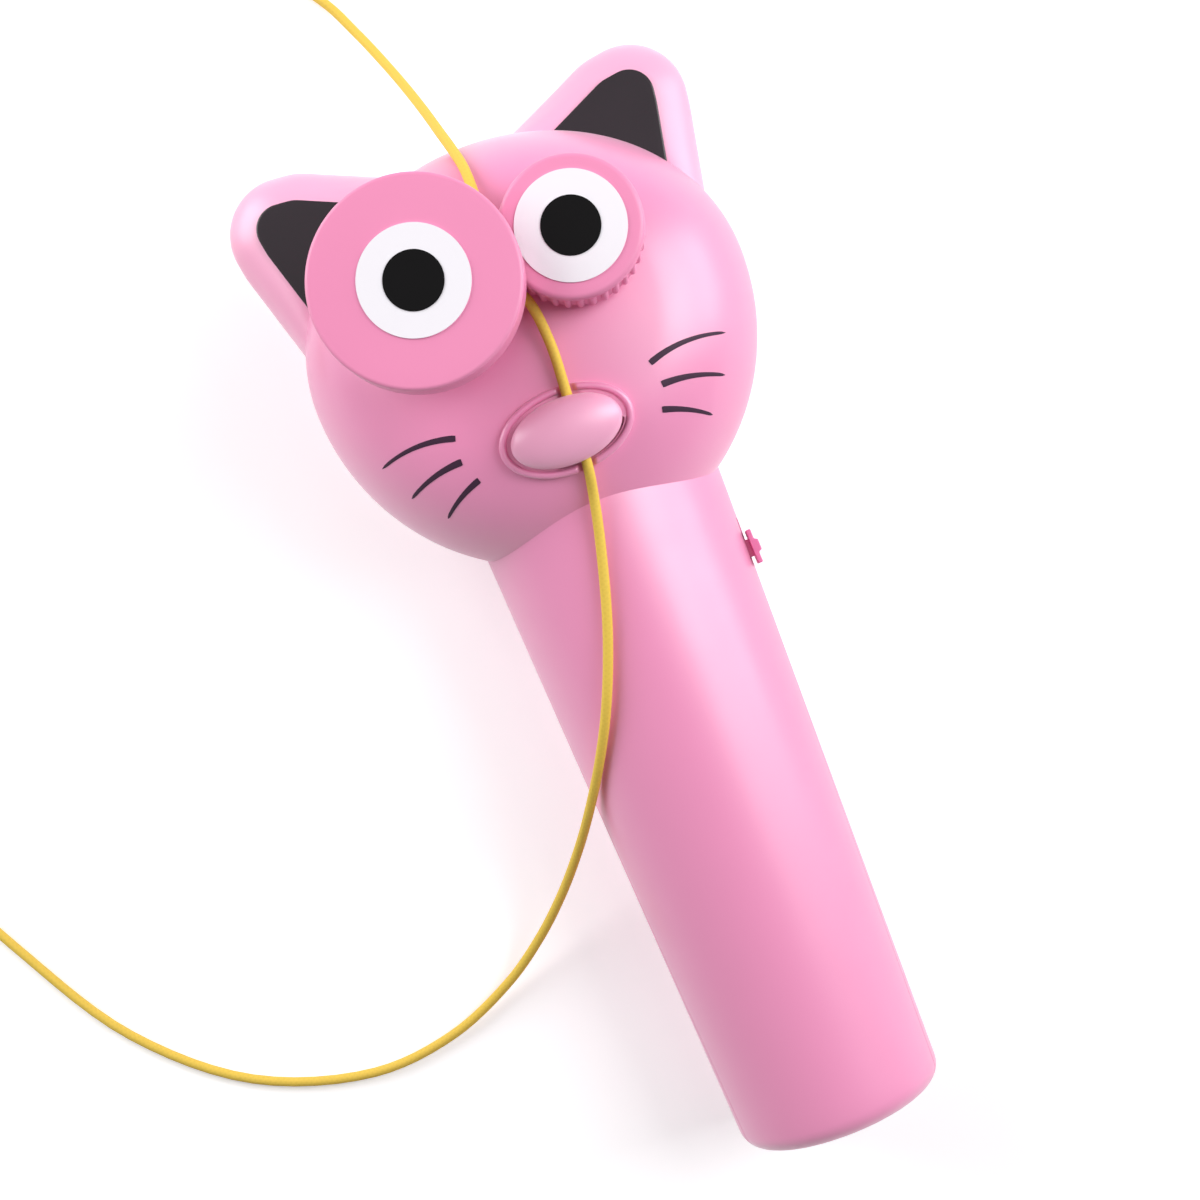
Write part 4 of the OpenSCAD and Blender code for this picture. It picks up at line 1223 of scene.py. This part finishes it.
def disc_mesh():
    """Plain thick disc on the large wheel."""
    radius = settings().wheels.cap_radius
    base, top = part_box("large_roller")[1].z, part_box("large_wheel_cap")[1].z
    outline = [(AXIS, base)]
    outline += rounded_corner((radius, base), (0, base), (radius, top), 0.0004)
    outline += rounded_corner((radius, top), (radius, base), (0, top), 0.0008, 8)
    outline += [(radius - 0.004, top), (AXIS, top)]
    return turned_mesh(outline, 160, BIG_CENTRE)


# Rope


def smooth_line(points, steps):
    """Smooth line through points, spaced by the root of their distance."""
    pts = [Vector(p) for p in points]
    pts = [2 * pts[0] - pts[1], *pts, 2 * pts[-1] - pts[-2]]

    def mix(a, b, ta, tb, t):
        return (a * (tb - t) + b * (t - ta)) / (tb - ta)

    line = []
    for i in range(len(pts) - 3):
        p0, p1, p2, p3 = pts[i:i + 4]
        t1 = math.sqrt((p1 - p0).length)
        t2 = t1 + math.sqrt((p2 - p1).length)
        t3 = t2 + math.sqrt((p3 - p2).length)
        for k in range(steps):
            t = t1 + (t2 - t1) * k / steps
            a1, a2, a3 = mix(p0, p1, 0, t1, t), mix(p1, p2, t1, t2, t), mix(p2, p3, t2, t3, t)
            line.append(mix(mix(a1, a2, 0, t2, t), mix(a2, a3, t1, t3, t), t1, t2, t))
    line.append(pts[-2])
    return line


def coil_line():
    """Turns of the stored rope, winding in and out in turn and climbing at each reversal."""
    r = settings().rope
    climb, rings = 0.25, 28
    line = []
    for i in range(r.layers * r.turns * rings + 1):
        turn = i / rings
        layer = min(int(turn // r.turns), r.layers - 1)
        s = turn - layer * r.turns
        share = (s if layer % 2 == 0 else r.turns - s) / r.turns
        radius = r.coil_out + share * (r.coil_in - r.coil_out)
        level = layer
        if s > r.turns - climb and layer < r.layers - 1:
            level = layer + (1 - math.cos(math.pi * (s - r.turns + climb) / (2 * climb))) / 2
        elif s < climb and layer > 0:
            level = layer - 1 + (1 - math.cos(math.pi * (s + climb) / (2 * climb))) / 2
        a = math.pi + 2 * math.pi * turn
        line.append(Vector((
            COIL_MIDDLE[0] + radius * math.cos(a), COIL_MIDDLE[1] + radius * math.sin(a),
            r.coil_base + r.coil_step * level,
        )))
    return line


def rope_line():
    """Whole way of the rope from the wheels round to the wheels."""
    r = settings().rope
    step = Vector((0.0, r.diameter, 0.0))
    nip = Vector(NIP)
    coil = coil_line()
    coil_start, coil_end = coil[0] + step, coil[-1] - step
    out = [nip, *smooth_line([nip + step, *LAUNCH_ROUTE, coil_start + step], 6)]
    back = [*smooth_line([coil_end - step, *RETURN_ROUTE, nip - step], 6), nip]
    return [*out, coil_start, *coil, coil_end, *back]


def rope_mesh(line, radius, sides=12):
    """Round tube along a line, with a map that runs along and round it."""
    count = len(line)
    ways = [(line[min(i + 1, count - 1)] - line[max(i - 1, 0)]).normalized() for i in range(count)]
    side = ways[0].orthogonal().normalized()
    points, along, done = [], [], 0.0
    for i, (p, way) in enumerate(zip(line, ways)):
        side = (side - way * side.dot(way)).normalized()
        other = way.cross(side)
        if i:
            done += (p - line[i - 1]).length
        along.append(done)
        for a in turns(sides):
            points.append(p + radius * (math.cos(a) * side + math.sin(a) * other))
    faces = skin_faces(count, sides)
    faces.append(tuple(reversed(range(sides))))
    faces.append(tuple(range((count - 1) * sides, count * sides)))
    mesh = bpy.data.meshes.new("rope")
    mesh.from_pydata(points, [], faces)
    layer = mesh.uv_layers.new(name="Along")
    for polygon in mesh.polygons:
        polygon.use_smooth = True
        last = polygon.index % sides == sides - 1 and len(polygon.vertices) == 4
        for loop in polygon.loop_indices:
            ring, k = divmod(mesh.loops[loop].vertex_index, sides)
            layer.data[loop].uv = (along[ring], (sides if last and k == 0 else k) / sides)
    mesh.update()
    return mesh


def strap_mesh():
    """Thin strap that holds the coil together."""
    low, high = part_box("coil_tie")
    wide, half, tall = (high - low) / 2
    middle = box_middle("coil_tie")
    thick, bend, soft = 0.0005, 0.0014, 0.0001
    rings = []
    for inset in (0.0, thick):
        ring = []
        for corner, (sx, sz) in enumerate(((1, -1), (1, 1), (-1, 1), (-1, -1))):
            for i in range(7):
                a = math.pi / 2 * (corner - 1 + i / 6)
                ring.append((
                    sx * (wide - bend) + (bend - inset) * math.cos(a),
                    sz * (tall - bend) + (bend - inset) * math.sin(a),
                ))
        rings.append(ring)
    outer, inner = rings
    loops = [
        (outer, soft - half), (outer, half - soft), (inner, half), (inner, -half),
        (outer, soft - half),
    ]
    points = [middle + Vector((x, y, z)) for ring, y in loops for x, z in ring]
    return new_mesh(points, skin_faces(len(loops), len(outer)), sharp=40.0)


# Whiskers and switch knob


def whisker_points(c, whisker, shift_x, shift_y, rows, across):
    """Points of one whisker, a thin print on the face that narrows to its tip."""
    root, middle, tip = (Vector(p) for p in whisker[:3])
    root_share, narrowing, tip_from, tip_round, tip_least = 0.86, 0.55, 0.9, 0.0101, 0.02
    ink, swell = 0.00006, 0.00003
    points = []
    for i in range(rows):
        t = i / (rows - 1)
        spot = root * (1 - t) * (1 - 2 * t) + middle * 4 * t * (1 - t) + tip * t * (2 * t - 1)
        way = (root * (4 * t - 3) + middle * (4 - 8 * t) + tip * (4 * t - 1)).normalized()
        wide = whisker[3] * (root_share if i == 0 else 1 - narrowing * t)
        wide *= math.sqrt(max(1 - max(t - tip_from, 0) ** 2 / tip_round, tip_least))
        for k in range(across):
            share = k / (across - 1)
            off = (share - 0.5) * wide
            x = spot.x + shift_x - way.y * off
            y = spot.y + shift_y + way.x * off
            lift = ink + swell * (1 - abs(2 * share - 1))
            points.append(Vector((x, y, face_height(c, x, y))) + face_normal(c, x, y) * lift)
    return points


def whiskers_mesh(c, side, shift_x, shift_y, rows=25, across=7):
    """All the whiskers of one cheek."""
    points, faces = [], []
    for whisker in WHISKERS:
        faces += skin_faces(rows, across, len(points), ring=False)
        points += whisker_points(c, whisker, shift_x, shift_y, rows, across)
    points = [(side * p.x, p.y, p.z) for p in points]
    return new_mesh(points, faces, inside=(0.0, c.head_y, c.mid), merge=1e-8)


def knob_mesh():
    """Switch knob: a plate with a low rib across it, on a stem."""
    low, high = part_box("switch_knob")
    middle = box_middle("switch_knob")
    half = (high.y - low.y) / 2
    foot, step = high.x - 0.0017, high.x - 0.0007
    rib, slope = 0.0011, 0.0003
    stem_length, stem_width, sink = 0.0036, 0.0026, 0.0002
    outline = [
        (foot, -half), (step, -half), (step, -rib - slope), (high.x, -rib), (high.x, rib),
        (step, rib + slope), (step, half), (foot, half),
    ]
    count = len(outline)
    made = bmesh.new()
    lower, upper = (
        [made.verts.new((x, middle.y + y, z)) for x, y in outline] for z in (low.z, high.z)
    )
    for k in range(count):
        n = (k + 1) % count
        made.faces.new((lower[k], lower[n], upper[n], upper[k]))
    made.faces.new(lower[::-1])
    made.faces.new(upper)
    for v in bmesh.ops.create_cube(made, size=1.0)["verts"]:
        v.co.x = low.x + (v.co.x + 0.5) * (foot + sink - low.x)
        v.co.y = middle.y + v.co.y * stem_length
        v.co.z = middle.z + v.co.z * stem_width
    bmesh.ops.recalc_face_normals(made, faces=made.faces[:])
    return made


# Stage


def floor_material():
    """Pale floor that looks white to the camera and keeps the toy's soft shadow."""
    material, tree, shader = new_material("Pale floor")
    fill(tree, shader, {
        "Base Color": (*settings().finishes.floor, 1.0), "Roughness": 0.9,
        "Specular IOR Level": 0.1,
    })
    rays = node(tree, "ShaderNodeLightPath").outputs
    seen = math_node(tree, "MAXIMUM", rays["Is Camera Ray"], rays["Is Glossy Ray"])
    place = node(tree, "ShaderNodeTexCoord").outputs["Object"]
    away = node(tree, "ShaderNodeVectorMath", {0: place}, operation="LENGTH").outputs["Value"]
    fade = result(tree, "ShaderNodeMapRange", {
        "Value": away, "From Min": 0.25, "From Max": 0.8, "To Min": 0.32, "To Max": 0.9,
    }, interpolation_type="SMOOTHSTEP")
    glow = result(tree, "ShaderNodeEmission", {
        "Color": (1.0, 1.0, 1.0, 1.0), "Strength": math_node(tree, "MULTIPLY", seen, fade),
    })
    both = result(tree, "ShaderNodeAddShader", {0: shader.outputs[0], 1: glow})
    fill(tree, tree.nodes["Material Output"], {"Surface": both})
    return material


def studio_world():
    """White surround: soft for the toy's shading and bright in what it mirrors."""
    world = bpy.data.worlds.new("Studio")
    world.use_nodes = True
    tree = world.node_tree
    rays = node(tree, "ShaderNodeLightPath").outputs
    level = result(tree, "ShaderNodeMapRange", {
        "Value": rays["Is Diffuse Ray"], "To Min": 0.95, "To Max": 0.16,
    })
    fill(tree, tree.nodes["Background"], {"Color": (1.0, 0.99, 1.0, 1.0), "Strength": level})
    return world


def add_lamp(name, place, goal, wide, tall, power):
    """Soft rectangular lamp that points at a spot."""
    lamp = bpy.data.lights.new(name, "AREA")
    lamp.shape = "RECTANGLE"
    lamp.size = wide
    lamp.size_y = tall
    lamp.energy = power
    holder = new_object(name, lamp)
    holder.location = place
    holder.rotation_euler = (goal - place).to_track_quat("-Z", "Y").to_euler()


def add_camera():
    """Camera in front of the face, with the toy turned a little."""
    camera = bpy.data.cameras.new("Front camera")
    camera.sensor_width = 36.0
    camera.lens = 60.0
    camera.clip_start = 0.01
    holder = new_object("Front camera", camera)
    holder.matrix_world = Matrix.Translation(CAMERA_PLACE)
    for axis, angle in CAMERA_TURNS:
        holder.matrix_world @= Matrix.Rotation(math.radians(angle), 4, axis)
    return holder


def add_floor():
    """Wide floor, a hair below the rope's lowest turn."""
    depth, half = 0.00026, 3.0
    made = bmesh.new()
    bmesh.ops.create_grid(made, x_segments=2, y_segments=2, size=half)
    mesh = plain_mesh("Floor", made)
    mesh.transform(Matrix.Translation((0.0, 0.0, -depth)))
    mesh.materials.append(floor_material())
    new_object("Floor", mesh)


# Operators


class LAUNCHER_OT_stage(bpy.types.Operator):
    """Sets up the camera, the pale floor and the soft light."""

    bl_idname = "launcher.stage"
    bl_label = "Stage"

    def execute(self, context):
        scene = context.scene
        scene.view_settings.view_transform = "Standard"
        scene.camera = add_camera()
        add_floor()
        scene.world = studio_world()
        right = Vector((0.927, -0.375, 0.0))
        up = Vector((0.375, 0.927, 0.0))
        high = Vector((0.0, 0.0, 1.0))
        goal = Vector((0.0, 0.02, 0.03))
        for name, (across, along, above, wide, tall, power) in LAMPS.items():
            place = goal + across * right + along * up + above * high
            add_lamp(name, place, goal, wide, tall, power)
        return {"FINISHED"}


class LAUNCHER_OT_rope(bpy.types.Operator):
    """Lays the closed loop of rope and its coil."""

    bl_idname = "launcher.rope"
    bl_label = "Rope"

    def execute(self, context):
        r = settings().rope
        line = rope_line()
        rope = dress(
            new_object("rope", rope_mesh(line, r.diameter / 2)), rope_yarn(), "casing", "rope",
            "rope_launch_run", "rope_coil", "rope_return_run",
        )
        pale = plastic("Pale strap", linear("EDEBE4"), gloss=0.5, grain=0.1)
        tie = new_piece("coil_strap", strap_mesh(), pale, "casing", "tie", "coil_tie")
        return {"FINISHED"}


class LAUNCHER_OT_casing(bpy.types.Operator):
    """Builds the smooth front and rear shells."""

    bl_idname = "launcher.casing"
    bl_label = "Casing"

    def execute(self, context):
        c = casing_form()
        front, rear = shell_mesh(c, True), shell_mesh(c, False)
        new_piece("front_casing", front, shell_plastic(), "casing", "shell", "front_shell")
        new_piece("rear_casing", rear, shell_plastic(), "casing", "shell", "rear_shell")
        return {"FINISHED"}


class LAUNCHER_OT_nose(bpy.types.Operator):
    """Builds the nose that guides the rope."""

    bl_idname = "launcher.nose"
    bl_label = "Nose"

    def execute(self, context):
        made = nose_mesh(casing_form())
        # the nose is given the lighter pink, as painted sheen
        new_piece("nose", made, sheen_lit_plastic(), "casing", "shell", "nose_guide")
        return {"FINISHED"}


class LAUNCHER_OT_ears(bpy.types.Operator):
    """Builds the ears and their dark panels."""

    bl_idname = "launcher.ears"
    bl_label = "Ears"

    def execute(self, context):
        c = casing_form()
        dark = plastic(
            "Glossy black inlay", settings().finishes.panel, gloss=0.22, drift=0.15, grain=0.01,
            shine=0.35,
        )
        for name, side in (("left", -1), ("right", 1)):
            # the ears are given the lighter pink, as painted sheen
            new_piece(
                f"{name}_ear_form", ear_mesh(c, side), sheen_lit_plastic(), "casing", "shell",
                f"{name}_ear",
            )
            new_piece(
                f"{name}_ear_inlay", panel_mesh(c, side), dark, "casing", "ear_panel",
                f"{name}_ear_panel",
            )
        return {"FINISHED"}


class LAUNCHER_OT_wheels(bpy.types.Operator):
    """Builds the large disc and both ribbed drums."""

    bl_idname = "launcher.wheels"
    bl_label = "Wheels"

    def execute(self, context):
        w = settings().wheels
        ribbed_drum("large_drum", BIG_CENTRE, w.large_radius, "large_wheel", "large_roller")
        ribbed_drum("small_drum", SMALL_CENTRE, w.small_radius, "small_wheel", "small_roller")
        new_piece(
            "large_disc", disc_mesh(), wheel_plastic(), "large_wheel", "wheel", "large_wheel_cap"
        )
        return {"FINISHED"}


class LAUNCHER_OT_eyes(bpy.types.Operator):
    """Finishes the printed eyes on the wheels."""

    bl_idname = "launcher.eyes"
    bl_label = "Eyes"

    def execute(self, context):
        f = settings().finishes
        white = plastic("White vinyl", f.label, gloss=0.45, drift=0.03, grain=0.03)
        black = plastic("Black print", f.pupil, gloss=0.4, drift=0.1, grain=0.03, shine=0.08)
        for size in ("large", "small"):
            paint_node(f"{size}_eye_label", white)
            paint_node(f"{size}_eye_pupil", black)
        return {"FINISHED"}


class LAUNCHER_OT_whiskers(bpy.types.Operator):
    """Prints the whiskers on the face."""

    bl_idname = "launcher.whiskers"
    bl_label = "Whiskers"

    def execute(self, context):
        c = casing_form()
        ink = plastic(
            "Whisker print", settings().finishes.whisker, gloss=0.5, drift=0.2, grain=0.04,
            shine=0.2,
        )
        for name, shifts in WHISKER_SHIFTS.items():
            new_piece(f"{name}_whiskers", whiskers_mesh(c, *shifts), ink, "casing", "pupil")
        return {"FINISHED"}


class LAUNCHER_OT_switch(bpy.types.Operator):
    """Builds the ribbed knob of the slide switch."""

    bl_idname = "launcher.switch"
    bl_label = "Switch knob"

    def execute(self, context):
        knob = new_object("ribbed_knob", plain_mesh("ribbed_knob", knob_mesh()))
        bevel = knob.modifiers.new("Soft edges", "BEVEL")
        bevel.width = 0.00022
        bevel.segments = 3
        bevel.limit_method = "ANGLE"
        bake_modifiers(knob)
        pink = plastic("Knob plastic", settings().finishes.knob, gloss=0.4)
        dress(knob, pink, "power_switch", "knob", "switch_knob")
        return {"FINISHED"}


class LAUNCHER_OT_inside(bpy.types.Operator):
    """Finishes the parts inside and at the back of the toy."""

    bl_idname = "launcher.inside"
    bl_label = "Inner parts"

    def execute(self, context):
        steel = metal("Plated steel", linear("B9BCC2"), gloss=0.28)
        screw = metal("Zinc screw", linear("C4C6CA"), gloss=0.34, grain_size=1600.0)
        brass = metal("Bare brass", linear("CBA24C"), gloss=0.3)
        nylon = plastic("Natural nylon", linear("ECE8DC"), gloss=0.45, grain=0.06)
        case = plastic("Switch case", linear("3B3B3F"), gloss=0.5, grain=0.08)
        sleeve = plastic("Cell sleeve", linear("566A86"), gloss=0.25, drift=0.1)
        red = plastic("Red insulation", linear("C2302F"), gloss=0.4)
        black = plastic("Black insulation", linear("2A2A2D"), gloss=0.4)
        finishes = {
            steel: ["left_motor_can", "right_motor_can", "left_motor_rotor", "right_motor_rotor",
                    "battery_springs"],
            screw: ["nose_screw", "shell_screws", "cap_screw", "cradle_screws", "tray_screws"],
            brass: ["motor_terminals", "battery_contacts", "large_bush", "small_bush"],
            nylon: ["left_motor_end_cap", "right_motor_end_cap", "motor_cradle", "battery_tray"],
            case: ["switch_body"],
            sleeve: ["battery_cells"],
            red: ["red_wires"],
            black: ["black_wires"],
            shell_plastic(): ["battery_door"],
        }
        for material, names in finishes.items():
            for name in names:
                paint_node(name, material)
        return {"FINISHED"}


class LAUNCHER_PT_pieces(bpy.types.Panel):
    """Lists the pieces of the rope launcher and their settings."""

    bl_idname = "LAUNCHER_PT_pieces"
    bl_label = "Cat rope launcher"
    bl_space_type = "VIEW_3D"
    bl_region_type = "UI"
    bl_category = "Launcher"

    def draw(self, context):
        layout = self.layout
        for operator in OPERATORS:
            layout.operator(operator.bl_idname)
        for name in LauncherSettings.__annotations__:
            group = getattr(context.scene.cat_launcher, name)
            box = layout.box()
            box.label(text=name.capitalize())
            for key in group.__annotations__:
                box.prop(group, key)


SETTINGS = (CasingSizes, EarSizes, NoseSizes, WheelSizes, RopeSizes, Finishes, LauncherSettings)
OPERATORS = (
    LAUNCHER_OT_stage, LAUNCHER_OT_rope, LAUNCHER_OT_casing, LAUNCHER_OT_nose, LAUNCHER_OT_ears,
    LAUNCHER_OT_wheels, LAUNCHER_OT_eyes, LAUNCHER_OT_whiskers, LAUNCHER_OT_switch,
    LAUNCHER_OT_inside,
)


def register():
    """Adds the classes and the scene's settings."""
    for item in (*SETTINGS, *OPERATORS, LAUNCHER_PT_pieces):
        bpy.utils.register_class(item)
    bpy.types.Scene.cat_launcher = bpy.props.PointerProperty(type=LauncherSettings)


def unregister():
    """Takes the classes and the settings away."""
    del bpy.types.Scene.cat_launcher
    for item in reversed((*SETTINGS, *OPERATORS, LAUNCHER_PT_pieces)):
        bpy.utils.unregister_class(item)


def main():
    """Builds every piece in order."""
    register()
    bpy.ops.launcher.stage()
    bpy.ops.launcher.rope()
    bpy.ops.launcher.casing()
    bpy.ops.launcher.nose()
    bpy.ops.launcher.ears()
    bpy.ops.launcher.wheels()
    bpy.ops.launcher.eyes()
    bpy.ops.launcher.whiskers()
    bpy.ops.launcher.switch()
    bpy.ops.launcher.inside()


if __name__ == "__main__":
    main()
